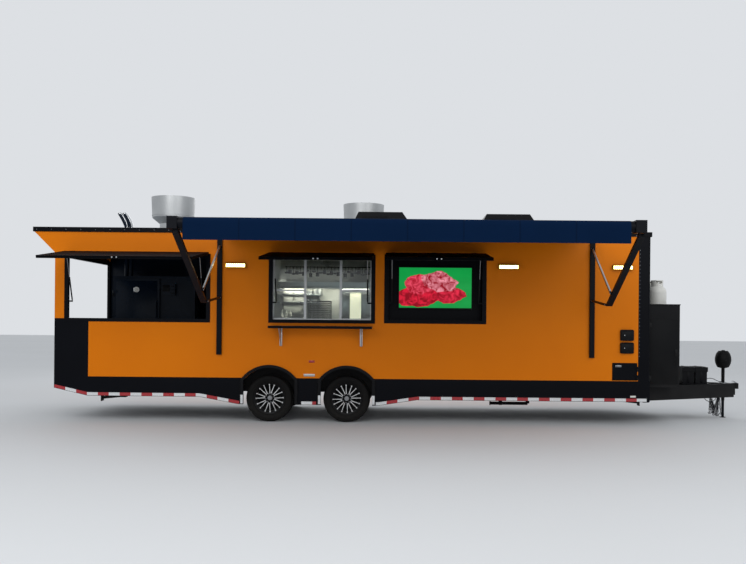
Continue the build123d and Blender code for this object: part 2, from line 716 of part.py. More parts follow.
# Smoker in the porch: insulated cabinet with racks, its door, and two flues through the roof
smoker_x = (400, 1900)
smoker_y = (350, inside - 10)
smoker_z = (floor_top, 2450)
chamber_x = (450, 1240)
chamber_z = (900, 2380)
chamber_back = inside - 60
smoker_door_x = (430, 1262)
smoker_door_z = (880, 2402)
smoker_hinge_z = (1150, 2130)
rack_count = 5
flue_bend_z = 3370
flue_bend = 270
with BuildPart() as smoker_body:
    block(smoker_x, smoker_y, (smoker_z[0] + 120, smoker_z[1]))
    for x in (smoker_x[0] + 40, smoker_x[1] - 120):
        for y in (smoker_y[0] + 40, smoker_y[1] - 120):
            block((x, x + 80), (y, y + 80), (smoker_z[0], smoker_z[0] + 120))
    block(chamber_x, (smoker_y[0], chamber_back), chamber_z, mode=Mode.SUBTRACT)
    for step in range(1, rack_count + 1):
        level = chamber_z[0] + step * (chamber_z[1] - chamber_z[0]) / (rack_count + 1)
        block(chamber_x, (smoker_y[0] + 60, chamber_back), (level, level + 12))
    block((1318, 1554), (smoker_y[0] - 90, smoker_y[0]), (2096, 2314))
    block((1340, 1820), (smoker_y[0] - 30, smoker_y[0]), (900, 1480))
    for x in flue_x:
        with BuildLine() as run:
            Line((x, flue_y, smoker_z[1]), (x, flue_y, flue_bend_z))
            RadiusArc((x, flue_y, flue_bend_z), (x - flue_bend * 0.5, flue_y, flue_bend_z + flue_bend), 400)
        with BuildSketch(Plane.XY.offset(smoker_z[1])):
            with Locations((x, flue_y)):
                Circle(flue_radius)
        sweep(path=run.wire())
save(smoker_body, "smoker_body")
with BuildPart() as smoker_door:
    door_y = (smoker_y[0] - 50, smoker_y[0] - 5)
    block(smoker_door_x, door_y, smoker_door_z)
    for z in smoker_hinge_z:
        with Locations((smoker_door_x[0] - 6, door_y[0] - 10, z + 0.3)):
            Cylinder(10, 60, align=(Align.CENTER, Align.CENTER, Align.MIN))
        block((smoker_door_x[0] - 6, smoker_door_x[0] + 60), (door_y[0] - 13, door_y[0]), (z + 0.3, z + 60))
    with Locations((smoker_door_x[1] - 50, door_y[0] - 45, 1500)):
        Cylinder(12, 500, align=(Align.CENTER, Align.CENTER, Align.MIN))
    for z in (1520, 1960):
        block((smoker_door_x[1] - 60, smoker_door_x[1] - 40), (door_y[0] - 45, door_y[0]), (z, z + 20))
save(smoker_door, "smoker_door")

# Hinge knuckles of every door and hatch, and the gas struts' feet
with BuildPart() as hinge_fittings:
    for x0, x1, z0, z1 in (porch, serving, screen):
        span = (x0 + hatch_lap, x1 - hatch_lap)
        for x in (span[0] + 150, sum(span) / 2, span[1] - 150):
            with BuildSketch(cross_plane(x - knuckle)):
                with Locations((-hinge_y, z1 + hinge_rise)):
                    Circle(hinge_radius)
                with BuildLine():
                    Polyline((-hinge_y, z1 + hinge_rise + hinge_radius), (-half, z1 + 30),
                             (-half, z1 + 2), (-hinge_y, z1 + hinge_rise - hinge_radius + 4), close=True)
                make_face()
            extrude(amount=knuckle)
        for x, turn in ((span[0] + strut_side, 1), (span[1] - strut_side, -1)):
            foot_z = z1 + hinge_rise - strut_foot
            jamb = x0 + frame_bar if turn > 0 else x1 - frame_bar
            with Locations(Location((x, -foot_y, foot_z), (0, 90, 0))):
                Cylinder(5, 12)
            inner = sorted((jamb, x - turn * (eye_half - 0.6)))
            block(inner, (-foot_y - 12, -foot_y + 12), (foot_z - 12, foot_z + 12))
    for side in (-1, 1):
        for z in rear_hinge_z:
            knuckle_at(-hinge_out, side * rear_hinge_y, z, False)
            leaf = sorted((side * rear_hinge_y, side * (rear_hinge_y + 45)))
            block((-hinge_out - 3, 0), leaf, (z - knuckle, z - 0.3))
    for z in entry_hinge_z:
        with Locations((entry_x[1], half + hinge_out, z - knuckle)):
            Cylinder(hinge_radius, knuckle - 0.3, align=(Align.CENTER, Align.CENTER, Align.MIN))
        block((entry_x[1], entry_x[1] + 40), (half, half + hinge_out + 3), (z - knuckle, z - 0.3))
    for z in hatchway_hinge_z:
        with Locations((hatchway_x[1], -half - hinge_out, z - 40)):
            Cylinder(7, 39.7, align=(Align.CENTER, Align.CENTER, Align.MIN))
        block((hatchway_x[1], hatchway_x[1] + 9), (-half - hinge_out - 2, -half), (z - 40, z - 0.3))
    for z in smoker_hinge_z:
        with Locations((smoker_door_x[0] - 6, smoker_y[0] - 60, z - 60)):
            Cylinder(10, 59.7, align=(Align.CENTER, Align.CENTER, Align.MIN))
        block((smoker_door_x[0] - 24, smoker_door_x[0] - 12), (smoker_y[0] - 60, smoker_y[0]),
              (z - 60, z - 0.3))
save(hinge_fittings, "hinge_fittings")

# Kitchen seen through the window: counters along both walls and the hood over the roadside one
counter_top = 1600
counter_sheet = 40
hood_x = (3400, 6900)
with BuildPart() as kitchen_fittings:
    for side, x in ((-1, (3000, 7200)), (1, (2900, 7300))):
        wall_y, edge_y, panel_in = side * inside, side * 800, side * 830
        block(x, sorted((wall_y, edge_y)), (counter_top - counter_sheet, counter_top))
        block(x, sorted((edge_y, panel_in)), (floor_top, counter_top - counter_sheet))
    with BuildSketch(cross_plane(hood_x[0])):
        with BuildLine():
            Polyline((inside, 2300), (560, 2300), (560, 2380), (900, 2800), (inside, 2800), close=True)
        make_face()
    extrude(amount=hood_x[1] - hood_x[0])
save(kitchen_fittings, "kitchen_fittings")

# Awning: wall rails, folding arms, roller with its end caps, and the canopy
awning_x = (2700, 8790)
awning_rail = 80
awning_rail_deep = 45
awning_rail_z = (1100, 3000)
roller_out = 2620
awning_points = {"upper": (60, 2880), "lower": (60, 2030), "foot": (950, 1950), "middle": (1250, 2113),
                 "head": (roller_out - 20, 2834)}
arm_wide = 88
roller_z = 2952
roller_radius = 74
cap_x = ((2560, 2696), (8735, 8880))
cap_z = (2868, 3034)


def link(x, wide, start, end, high):
    """A flat link in the YZ plane between two points given as distance out from the wall and height."""
    (a, low), (b, top) = start, end
    run = Vector(0, -(b - a), top - low).normalized()
    up = Vector(0, run.Z, -run.Y) * (high / 2)
    p, q = Vector(0, -half - a, low), Vector(0, -half - b, top)
    with BuildSketch(cross_plane(x)) as outline:
        with BuildLine():
            Polyline(*[(c.Y, c.Z) for c in (p + up, q + up, q - up, p - up)], close=True)
        make_face()
        for c in (p, q):
            with Locations((c.Y, c.Z)):
                Circle(high / 2)
    extrude(outline.sketch, amount=wide)


with BuildPart() as awning_arms:
    for x, turn in zip(awning_x, (1, -1)):
        block((x - awning_rail / 2, x + awning_rail / 2), (-half - awning_rail_deep, -half), awning_rail_z)
        main = min(x - turn * arm_wide, x)
        side = min(x, x + turn * 22)
        link(main, arm_wide, awning_points["foot"], awning_points["head"], 46)
        link(side, 22, awning_points["upper"], awning_points["middle"], 34)
        link(side, 22, awning_points["lower"], awning_points["foot"], 34)
    for x in cap_x:
        block(x, (-half - roller_out - 85, -half - roller_out + 85), cap_z)
    with Locations(Location(((cap_x[0][1] + cap_x[1][0]) / 2, -half - roller_out, roller_z), (0, 90, 0))):
        Cylinder(roller_radius, cap_x[1][0] - cap_x[0][1])
    for x in cap_x:
        lug_end = 2694 if x == cap_x[0] else 8796
        block(sorted((sum(x) / 2, lug_end)), (-half - roller_out - 20, -half - roller_out + 50), (2815, cap_z[0]))
save(awning_arms, "awning_arms")
canopy_x = (2770, 8672)
canopy_thick = 6
valance_low = 2720
with BuildPart() as awning_canopy:
    with BuildSketch(cross_plane(canopy_x[0])):
        with BuildLine():
            wall_y, wall_z = -half - rail_sheet - 0.3, wall_top + 46
            roller_y, over = -half - roller_out, roller_radius + 0.3
            outer = over + canopy_thick
            Polyline((wall_y, wall_z + canopy_thick), (wall_y, wall_z), (roller_y, roller_z + over))
            RadiusArc((roller_y, roller_z + over), (roller_y - over, roller_z), -over)
            Polyline((roller_y - over, roller_z), (roller_y - over, valance_low),
                     (roller_y - outer, valance_low), (roller_y - outer, roller_z))
            RadiusArc((roller_y - outer, roller_z), (roller_y, roller_z + outer), outer)
            Line((roller_y, roller_z + outer), (wall_y, wall_z + canopy_thick))
        make_face()
    extrude(amount=canopy_x[1] - canopy_x[0])
save(awning_canopy, "awning_canopy")

# Roof: two upblast fans and two low air conditioners
fan_places = ((1585, 0), (4964, 700))
curb_high = 90             # square curb under each fan
fan_neck = 235             # radii of the bowl from its neck up to the rim
fan_waist = 366
fan_rim = 381
fan_high = 560
fan_sheet = 9
with BuildPart() as exhaust_fans:
    for x, y in fan_places:
        with Locations((x, y, roof_top)):
            Box(520, 520, curb_high, align=(Align.CENTER, Align.CENTER, Align.MIN))
        with BuildSketch(Plane(origin=(x, y, roof_top + curb_high), x_dir=(1, 0, 0), z_dir=(0, -1, 0))):
            with BuildLine():
                Polyline((0, 0), (fan_neck, 0), (fan_neck, 90), (345, 180))
                ThreePointArc((345, 180), (361, 195), (fan_waist, 216))
                Polyline((fan_waist, 216), (fan_rim, fan_high), (fan_rim - fan_sheet, fan_high),
                         (fan_waist - fan_sheet, 222), (280, 150), (150, 150), (150, 400), (110, 470),
                         (0, 500), (0, 0))
            make_face()
        revolve(axis=Axis((x, y, 0), (0, 0, 1)))
save(exhaust_fans, "exhaust_fans")
cooler_places = ((5375, -150), (7610, 0))
cooler_long = 1011
cooler_half = 350
cooler_high = 375
cooler_back = 54           # how far the top is set in at the rear, and at the sloped front
cooler_front = 200
with BuildPart() as roof_coolers:
    for x, y in cooler_places:
        back = x - cooler_long / 2
        front = x + cooler_long / 2
        with BuildSketch(side_plane(y + cooler_half)):
            with BuildLine():
                Polyline((back, roof_top), (front, roof_top), (front, roof_top + 90),
                         (front - cooler_front, roof_top + cooler_high),
                         (back + cooler_back, roof_top + cooler_high), (back, roof_top + cooler_high - 110),
                         (back, roof_top))
            make_face()
        extrude(amount=2 * cooler_half)
save(roof_coolers, "roof_coolers")

# Front: cabinet on the A-frame with a tray for the gas cylinders, and the battery boxes
cabinet_reach = 548
cabinet_half = 1100
cabinet_top = 1992
tray_z = 1800
rim_thick = 22
with BuildPart() as front_cabinet:
    block((body_length, body_length + cabinet_reach), (-cabinet_half, cabinet_half), (tongue_top, cabinet_top))
    block((body_length + rim_thick, body_length + cabinet_reach - rim_thick),
          (-cabinet_half + rim_thick, cabinet_half - rim_thick), (tray_z, cabinet_top), mode=Mode.SUBTRACT)
save(front_cabinet, "front_cabinet")
gas_x = body_length + 340
with BuildPart() as gas_cylinders:
    for y in (-540, -180):
        with BuildSketch(Plane(origin=(gas_x, y, tray_z), x_dir=(1, 0, 0), z_dir=(0, -1, 0))):
            with BuildLine():
                Polyline((0, 0), (125, 0), (125, 25))
                ThreePointArc((125, 25), (148, 50), (155, 90))
                Line((155, 90), (155, 400))
                ThreePointArc((155, 400), (125, 480), (0, 510))
                Line((0, 510), (0, 0))
            make_face()
        revolve(axis=Axis((gas_x, y, 0), (0, 0, 1)))
        with BuildSketch(Plane.XY.offset(tray_z + 470)):
            with Locations((gas_x, y)):
                Circle(100)
                Circle(94, mode=Mode.SUBTRACT)
        extrude(amount=137)
        with BuildSketch(side_plane(y + 120)):
            with Locations((gas_x, tray_z + 575)):
                SlotOverall(120, 46)
        extrude(amount=240, mode=Mode.SUBTRACT)
        with Locations((gas_x, y, tray_z + 500)):
            Cylinder(22, 90, align=(Align.CENTER, Align.CENTER, Align.MIN))
save(gas_cylinders, "gas_cylinders")
battery_x = (body_length + 905, body_length + 1365)
with BuildPart() as battery_boxes:
    block((battery_x[0] - 5, battery_x[1] + 5), (-340, 340), (tongue_top, tongue_top + 6))
    middle = sum(battery_x) / 2
    for x in ((battery_x[0], middle - 4), (middle + 4, battery_x[1])):
        block((x[0] + 12, x[1] - 12), (-170, 170), (tongue_top + 6, 820))
        block(x, (-182, 182), (820, 900))
save(battery_boxes, "battery_boxes")

# Lamps and inlets on the curbside wall
with BuildPart() as light_bars:
    for x, z in ((2964, 2556), (7419, 2569), (9280, 2577)):
        block((x - 165, x + 165), (-half - 62, -half - 20), (z - 36, z + 36))
        for lug in (x - 120, x + 120):
            block((lug - 15, lug + 15), (-half - 20, -half), (z - 12, z + 12))
save(light_bars, "light_bars")
with BuildPart() as power_inlets:
    for z in (1473, 1265):
        with BuildSketch(side_plane(-half)):
            with Locations((9366, z)):
                RectangleRounded(219, 182, 26)
        extrude(amount=38)
save(power_inlets, "power_inlets")

# Drop-leg stabilisers, folded up under the corners
leg_long = 360
for name, (x, turn) in zip(("rear", "front"), stabiliser_x):
    for part_side, side in (("curbside", -1), ("roadside", 1)):
        pivot_z = rail_z[1] - stabiliser_drop
        foot = x + turn * leg_long
        with BuildPart() as leg:
            with BuildSketch(side_plane(side * stabiliser_y + 25)):
                with BuildLine():
                    Polyline((x, pivot_z + 25), (foot, pivot_z - 20), (foot, pivot_z - 62), (x, pivot_z - 25),
                             (x, pivot_z + 25))
                make_face()
                with Locations((x, pivot_z)):
                    Circle(25)
                    Circle(stabiliser_pin + 0.3, mode=Mode.SUBTRACT)
            extrude(amount=50)
            block(sorted((foot, foot + turn * 12)), (side * stabiliser_y - 60, side * stabiliser_y + 60),
                  (pivot_z - 95, pivot_z + 15))
        save(leg, f"stabiliser_leg_{name}_{part_side}")

# Safety chains hanging from the tongue
link_long = 48
link_wide = 30
link_wire = 9
link_pitch = link_long - 2 * link_wire - 0.4
link_count = 10
chain_x = tongue_end - 320
chain_y = 190
chain_lean = 9             # degrees, one chain leans back and the other forward
with BuildPart() as safety_chains:
    for side in (-1, 1):
        lean = radians(side * chain_lean)
        run = Vector(sin(lean), 0, -cos(lean))
        across = Vector(cos(lean), 0, sin(lean))
        top = Vector(chain_x, side * chain_y, tongue_z[0] - 6)
        for step in range(link_count):
            centre = top + run * (link_long / 2 + step * link_pitch)
            plane = Plane(origin=centre, x_dir=run, z_dir=across if step % 2 else (0, 1, 0))
            with BuildSketch(plane.offset(-link_wire / 2)):
                SlotOverall(link_long, link_wide)
                SlotOverall(link_long - 2 * link_wire, link_wide - 2 * link_wire, mode=Mode.SUBTRACT)
            extrude(amount=link_wire)
        block((chain_x - 20, chain_x + 20), (side * chain_y - 5, side * chain_y + 5),
              (tongue_z[0] - 14, tongue_z[0]))
save(safety_chains, "safety_chains")
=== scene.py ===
from math import atan2, cos, hypot, pi, radians, sin

import bpy
from mathutils import Matrix, Vector


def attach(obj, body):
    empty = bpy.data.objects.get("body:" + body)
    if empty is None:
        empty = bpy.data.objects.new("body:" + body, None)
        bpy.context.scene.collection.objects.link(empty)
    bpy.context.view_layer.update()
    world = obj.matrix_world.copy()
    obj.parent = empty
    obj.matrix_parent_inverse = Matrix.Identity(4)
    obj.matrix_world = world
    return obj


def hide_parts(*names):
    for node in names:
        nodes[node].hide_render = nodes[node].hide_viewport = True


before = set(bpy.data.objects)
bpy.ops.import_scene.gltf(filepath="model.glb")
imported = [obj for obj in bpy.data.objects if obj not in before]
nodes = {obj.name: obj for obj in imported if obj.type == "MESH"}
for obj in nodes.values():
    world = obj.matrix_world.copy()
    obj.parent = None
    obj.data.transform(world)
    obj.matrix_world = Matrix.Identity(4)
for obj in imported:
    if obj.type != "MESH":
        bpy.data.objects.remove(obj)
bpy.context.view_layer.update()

# Barbecue smoker trailer. Places are in millimetres: x forward from the body's rear edge,
# y to the roadside from the centreline, z up from the ground. place() turns them into the frame.
body = {"half": 1295, "inside": 1250, "roof": 3182, "ballX": 11677, "ballZ": 556}
sides = {"curbside": -1, "roadside": 1}
# Openings in the curbside wall: x from, x to, z from, z to
openings = {"porch": (157, 2546, 1620, 2745), "serving": (3498, 5245, 1625, 2752),
            "screen": (5392, 7065, 1632, 2764)}


def place(x, y, z):
    return Vector(((x - body["ballX"]) / 1000, y / 1000, (z - body["ballZ"]) / 1000))


def toLinear(hexCode):
    parts = [int(hexCode[i:i + 2], 16) / 255 for i in (0, 2, 4)]
    return [c / 12.92 if c <= 0.04045 else ((c + 0.055) / 1.055) ** 2.4 for c in parts] + [1.0]


def addNode(tree, kind, settings=None, values=None, links=None):
    made = tree.nodes.new("ShaderNode" + kind)
    for key, value in (settings or {}).items():
        setattr(made, key, value)
    for key, value in (values or {}).items():
        made.inputs[key].default_value = value
    for key, socket in (links or {}).items():
        tree.links.new(socket, made.inputs[key])
    return made


def newMaterial(name, values):
    material = bpy.data.materials.new(name)
    material.use_nodes = True
    tree = material.node_tree
    shader = tree.nodes["Principled BSDF"]
    for key, value in values.items():
        shader.inputs[key].default_value = value
    return material, tree, shader


def mixColours(tree, factor, a, b):
    values = {key: toLinear(c) for key, c in (("A", a), ("B", b)) if isinstance(c, str)}
    links = {key: c for key, c in (("Factor", factor), ("A", a), ("B", b)) if not isinstance(c, str)}
    return addNode(tree, "Mix", {"data_type": "RGBA"}, values, links).outputs["Result"]


# A finish mixes two close colours in patches, varies its gloss with the same patches and takes its
# relief from a grain. patch and grain are in millimetres, stretch draws the grain out along an axis.
def makeFinish(name, colour, second, patch, grain, relief, rough, metallic=0.0, stretch=(1, 1, 1), coat=0.0,
               dust=0.0, dustTop=1200, ior=1.5, shine=0.5, edgeWear=None):
    material, tree, shader = newMaterial(name, {"Metallic": metallic, "Coat Weight": coat,
                                                "Coat Roughness": 0.06})
    where = addNode(tree, "TexCoord").outputs["Object"]
    drawn = addNode(tree, "Mapping", values={"Scale": stretch}, links={"Vector": where}).outputs["Vector"]
    patches = addNode(tree, "TexNoise", values={"Scale": 1000 / patch, "Detail": 5.0},
                      links={"Vector": where}).outputs["Fac"]
    paint = mixColours(tree, patches, colour, second)
    if edgeWear:
        edges = addNode(tree, "NewGeometry").outputs["Pointiness"]
        rubbed = addNode(tree, "MapRange", values={"From Min": 0.55, "From Max": 0.62}, links={"Value": edges})
        rubbed = addNode(tree, "Math", {"operation": "MULTIPLY"},
                         links={0: rubbed.outputs["Result"], 1: patches}).outputs["Value"]
        paint = mixColours(tree, rubbed, paint, edgeWear)
    if dust:
        height = addNode(tree, "SeparateXYZ", links={"Vector": where}).outputs["Z"]
        low = addNode(tree, "MapRange", values={"From Min": place(0, 0, dustTop).z, "To Max": dust,
                                                "From Max": place(0, 0, 250).z}, links={"Value": height})
        spread = addNode(tree, "Math", {"operation": "MULTIPLY"},
                         links={0: low.outputs["Result"], 1: patches}).outputs["Value"]
        paint = mixColours(tree, spread, paint, "8a8378")
    tree.links.new(paint, shader.inputs["Base Color"])
    gloss = addNode(tree, "MapRange", values={"From Min": 0.3, "From Max": 0.7, "To Min": rough[0],
                                              "To Max": rough[1]}, links={"Value": patches})
    tree.links.new(gloss.outputs["Result"], shader.inputs["Roughness"])
    if relief:
        fine = addNode(tree, "TexNoise", values={"Scale": 1000 / grain, "Detail": 3.0},
                       links={"Vector": drawn}).outputs["Fac"]
        bump = addNode(tree, "Bump", values={"Distance": relief / 1000, "Strength": 0.6},
                       links={"Height": fine})
        tree.links.new(bump.outputs["Normal"], shader.inputs["Normal"])
    if not metallic:
        shader.inputs["IOR"].default_value = ior
        shader.inputs["Specular IOR Level"].default_value = shine
    return material


# Two colours, patch, grain, relief and range of roughness, then what else the finish has
finishTable = {
    # two-pack paint sprayed on aluminium sheet: deep gloss with a faint orange peel, drawn at 9 mm
    "orangePaint": ("dc7806", "d47004", 900, 9, 0.06, (0.3, 0.4), {"ior": 1.25, "shine": 0.3}),
    # the same paint in black, on skirts, posts and frames
    "blackPaint": ("05060b", "070910", 700, 9, 0.05, (0.28, 0.38), {"ior": 1.22, "shine": 0.32}),
    # matt black paint on the hatches, rolled on aluminium skins: no mirror of the wall below; on the raised lids
    # the black is partly painted shade, the awning's shadow on them
    "hatchBlackAndShade": ("050609", "08090d", 600, 6, 0.05, (0.62, 0.72), {"ior": 1.2, "shine": 0.15}),
    # powder coat baked on steel: satin, with a fine pebble, dusted low down and rubbed at edges
    "powderCoat": ("060709", "0a0b0d", 300, 2.5, 0.10, (0.45, 0.58),
                   {"dust": 0.05, "ior": 1.25, "shine": 0.35, "edgeWear": "1c1c1e"}),
    # powder coat on the awning's arms and roller caps, extruded aluminium: even and satin
    "awningCoat": ("05060b", "080b13", 500, 3, 0.05, (0.38, 0.48), {"ior": 1.25, "shine": 0.35}),
    # mill-finish aluminium roof sheet, rolled: soft lengthwise streaks
    "rolledAluminium": ("b9bcc0", "a4a7ab", 600, 6, 0.05, (0.38, 0.5),
                        {"metallic": 1, "stretch": (0.05, 1, 1)}),
    # white coated panel inside, pressed: plain, with a soft sheen
    "panelWhite": ("d9dad6", "cfd0cc", 500, 4, 0.03, (0.4, 0.5), {}),
    # aluminium tread plate, rolled: duller where it is walked on
    "treadPlate": ("9a9c9e", "7d8082", 250, 12, 0.6, (0.4, 0.55), {"metallic": 1}),
    # brushed stainless sheet: fine lines along its length, drawn at 2 mm
    "brushedStainless": ("c7cacc", "b4b7ba", 500, 2, 0.04, (0.25, 0.38),
                         {"metallic": 1, "stretch": (0.04, 1, 1)}),
    # spun aluminium fan hoods: rings of the spinning tool
    "spunAluminium": ("c4c6c6", "aeb0b1", 400, 4, 0.08, (0.36, 0.5), {"metallic": 1, "stretch": (0.2, 0.2, 3)}),
    # extruded, clear-anodised window frame: even grey with faint upright lines
    "anodised": ("b8babb", "a9abac", 300, 2, 0.03, (0.3, 0.4), {"metallic": 1, "stretch": (1, 1, 0.05)}),
    # moulded ABS with a fine texture
    "mouldedAbs": ("07080b", "0b0c10", 200, 1.8, 0.08, (0.4, 0.5), {"ior": 1.28, "shine": 0.35}),
    # dark heat-proof paint sprayed on the smoker's steel, with a soft gloss: black, its blue tint a painted
    # reflection of the sky
    "smokerBlackAndSkyTint": ("0e1c2c", "0a1522", 450, 5, 0.06, (0.22, 0.34), {"ior": 1.25, "shine": 0.35}),
    # zinc-plated steel: pale, slightly blotched
    "zincPlate": ("9b9da0", "7f8184", 60, 2, 0.03, (0.32, 0.48), {"metallic": 1}),
    # white enamel sprayed on the gas cylinders: glossy, slightly uneven
    "whiteEnamel": ("e4e3dd", "d8d7d0", 260, 4, 0.04, (0.3, 0.42), {"coat": 0.2}),
    # moulded tyre rubber: matt, dusted at the tread
    "tyreRubber": ("060607", "09090a", 60, 1.5, 0.10, (0.62, 0.74),
                   {"dust": 0.05, "dustTop": 800, "ior": 1.22}),
    # cast wheel in gloss black
    "wheelBlack": ("050506", "08080a", 120, 3, 0.03, (0.34, 0.44), {"ior": 1.25}),
    # machined face of the cast wheel: bright, with faint turning marks
    "machinedAlloy": ("eceded", "dcddde", 90, 1, 0.03, (0.3, 0.42), {"metallic": 1}),
    # moulded grey plastic of the hub caps: satin
    "greyPlastic": ("8d8f92", "7d7f82", 120, 2, 0.04, (0.4, 0.5), {}),
    # moulded red acrylic lens: clear gloss over a deep colour
    "redLens": ("8e0f12", "a31417", 30, 5, 0.05, (0.12, 0.2), {"coat": 0.6}),
    # dark laminate lining the porch, pressed: smooth; its dark navy is painted shade, standing in for the shade
    # inside the porch
    "porchShadeLining": ("0a1420", "0c1826", 500, 4, 0.03, (0.25, 0.4), {"ior": 1.28, "shine": 0.35}),
    # black wire and cord jackets, extruded PVC: satin black
    "blackWire": ("070708", "0c0c0d", 40, 1.5, 0.03, (0.45, 0.55), {"ior": 1.3}),
    # extruded rubber seal: matt, slightly bloomed
    "sealRubber": ("151516", "1c1c1d", 70, 1.2, 0.05, (0.65, 0.78), {}),
    # polished steel: bright with faint long scratches, drawn at 1 mm
    "polishedSteel": ("d3d5d6", "c4c6c8", 80, 1, 0.02, (0.12, 0.22), {"metallic": 1, "stretch": (1, 1, 0.1)}),
    # forged steel of chain and utensils, blackened by weather and heat
    "darkSteel": ("26272a", "1a1b1d", 50, 2, 0.05, (0.45, 0.6), {"metallic": 1}),
    # cast brass valves, dull where handled
    "brass": ("b08d4a", "967639", 30, 2, 0.04, (0.3, 0.45), {"metallic": 1}),
}
finishes = {name: makeFinish(name, *row[:6], **row[6]) for name, row in finishTable.items()}

# lit LED chips behind a clear polycarbonate lens, diffused strip lights, and a lit cabinet's glass
for name, colour, strength in (("ledWhite", "fffbe8", 6.0), ("ledWarm", "ffd95c", 3.0),
                               ("stripLight", "fff6e4", 12.0), ("battenLight", "fff6e4", 4.5),
                               ("warmGlow", "f4f0d2", 0.9)):
    finishes[name] = newMaterial(name, {"Base Color": toLinear(colour), "Emission Color": toLinear(colour),
                                        "Emission Strength": strength, "Roughness": 0.3})[0]


# clear float glass, 6 mm: a faint green tint and a sharp reflection, slightly smudged
def makeGlass():
    material, tree, shader = newMaterial("floatGlass", {"Base Color": toLinear("dfe9e6"), "IOR": 1.45,
                                                        "Transmission Weight": 1.0})
    smudge = addNode(tree, "TexNoise", values={"Scale": 6.0, "Detail": 4.0},
                     links={"Vector": addNode(tree, "TexCoord").outputs["Object"]})
    wiped = addNode(tree, "MapRange", values={"To Min": 0.0, "To Max": 0.05},
                    links={"Value": smudge.outputs["Fac"]})
    tree.links.new(wiped.outputs["Result"], shader.inputs["Roughness"])
    return material


finishes["floatGlass"] = makeGlass()
print("finishes made")

# CAD nodes by finish, named by the start of their names. All others are powder coated.
nodeFinish = {
    "orangePaint": ("wall_curbside", "wall_roadside", "entry_door"),
    "blackPaint": ("wall_front", "lower_panels", "rear_frame", "rear_door", "access_door", "opening_frames",
                   "screen_cabinet", "roof_edge"),
    # hatch skins: black that is partly painted shade, the awning's shadow
    "hatchBlackAndShade": ("hatch_",), "panelWhite": ("partition",), "anodised": ("window_frame",),
    "mouldedAbs": ("fender_flares", "roof_coolers", "battery_boxes", "light_bars", "power_inlets",
                   "screen_panel"),
    "rolledAluminium": ("roof",), "floatGlass": ("window_glass",), "spunAluminium": ("exhaust_fans",),
    "brushedStainless": ("serving_shelf", "kitchen_fittings"), "awningCoat": ("awning_",),
    # smoker nodes: black paint whose blue tint is a painted sky reflection
    "smokerBlackAndSkyTint": ("smoker_",), "whiteEnamel": ("gas_cylinders",), "zincPlate": ("strut_rods",),
    "darkSteel": ("safety_chains", "jack_leg"), "tyreRubber": ("tyre_",), "wheelBlack": ("rim_",),
}
for name, node in nodes.items():
    kind = next((finish for finish, starts in nodeFinish.items() if name.startswith(starts)), "powderCoat")
    node.data.materials.clear()
    node.data.materials.append(finishes[kind])
print("CAD nodes finished")

# Camera: square-on to the curbside wall, level, 13.7 m from it and at eye height
view = {"x": 5590, "y": -14995, "z": 1700, "lens": 40.4, "sensor": 36, "shiftX": -0.031, "shiftY": 0.05,
        "roll": -0.52}
camera = bpy.data.objects.new("camera", bpy.data.cameras.new("camera"))
bpy.context.scene.collection.objects.link(camera)
camera.location = place(view["x"], view["y"], view["z"])
camera.rotation_euler = (radians(90), radians(view["roll"]), 0)
camera.data.lens = view["lens"]
camera.data.sensor_width = view["sensor"]
camera.data.shift_x = view["shiftX"]
camera.data.shift_y = view["shiftY"]
camera.data.clip_end = 200
bpy.context.scene.camera = camera

# Studio: pale floor, soft lamps and a pale world
studio = {"floor": ("d2d4d6", "cccecf"), "sky": "dde0e4", "worldStrength": 0.95, "key": 620, "fill": 260}
bpy.ops.object.select_all(action="DESELECT")
bpy.ops.mesh.primitive_plane_add(size=120, location=place(5600, 0, 0))
ground = bpy.context.object
ground.name = "studioFloor"
bpy.ops.object.transform_apply(location=True, rotation=True, scale=True)
ground.data.materials.append(makeFinish("studioFloorPaint", *studio["floor"], 4000, 40, 0.0, (0.7, 0.8)))
world = bpy.data.worlds.new("studioWorld")
bpy.context.scene.world = world
world.use_nodes = True
tree = world.node_tree
backdrop = tree.nodes["Background"]
backdrop.inputs["Color"].default_value = toLinear(studio["sky"])
backdrop.inputs["Strength"].default_value = studio["worldStrength"]
seen = addNode(tree, "Background", values={"Color": toLinear(studio["sky"]), "Strength": 1.0})
isCamera = addNode(tree, "LightPath").outputs["Is Camera Ray"]
blend = addNode(tree, "MixShader", links={0: isCamera, 1: backdrop.outputs["Background"],
                                          2: seen.outputs["Background"]})
tree.links.new(blend.outputs["Shader"], tree.nodes["World Output"].inputs["Surface"])
for name, at, aim, size, power in (
        ("keyLamp", (1500, -13000, 9000), (5000, -1295, 1600), 9.0, studio["key"]),
        ("fillLamp", (12500, -12000, 6500), (7000, -1295, 1500), 8.0, studio["fill"]),
        ("rearLamp", (4000, 11000, 8000), (5000, 1295, 1600), 8.0, studio["fill"])):
    lamp = bpy.data.lights.new(name, "AREA")
    lamp.size = size
    lamp.energy = power
    holder = bpy.data.objects.new(name, lamp)
    bpy.context.scene.collection.objects.link(holder)
    holder.location = place(*at)
    holder.rotation_euler = (place(*aim) - place(*at)).to_track_quat("-Z", "Y").to_euler()
bpy.context.scene.view_settings.view_transform = "Standard"
print("camera and studio set")


def pick(*chosen):
    if bpy.context.object and bpy.context.object.mode != "OBJECT":
        bpy.ops.object.mode_set(mode="OBJECT")
    bpy.ops.object.select_all(action="DESELECT")
    for piece in chosen:
        piece.select_set(True)
    if chosen:
        bpy.context.view_layer.objects.active = chosen[0]


def settle():
    bpy.ops.object.transform_apply(location=True, rotation=True, scale=True)


def newObject(name, data):
    made = bpy.data.objects.new(name, data)
    bpy.context.scene.collection.objects.link(made)
    pick(made)
    return made


def bevelEdges(piece, width, segments=2, angle=35):
    pick(piece)
    edge = piece.modifiers.new("edge", "BEVEL")
    edge.width = width / 1000
    edge.segments = segments
    edge.limit_method = "ANGLE"
    edge.angle_limit = radians(angle)
    bpy.ops.object.modifier_apply(modifier="edge")
    return piece


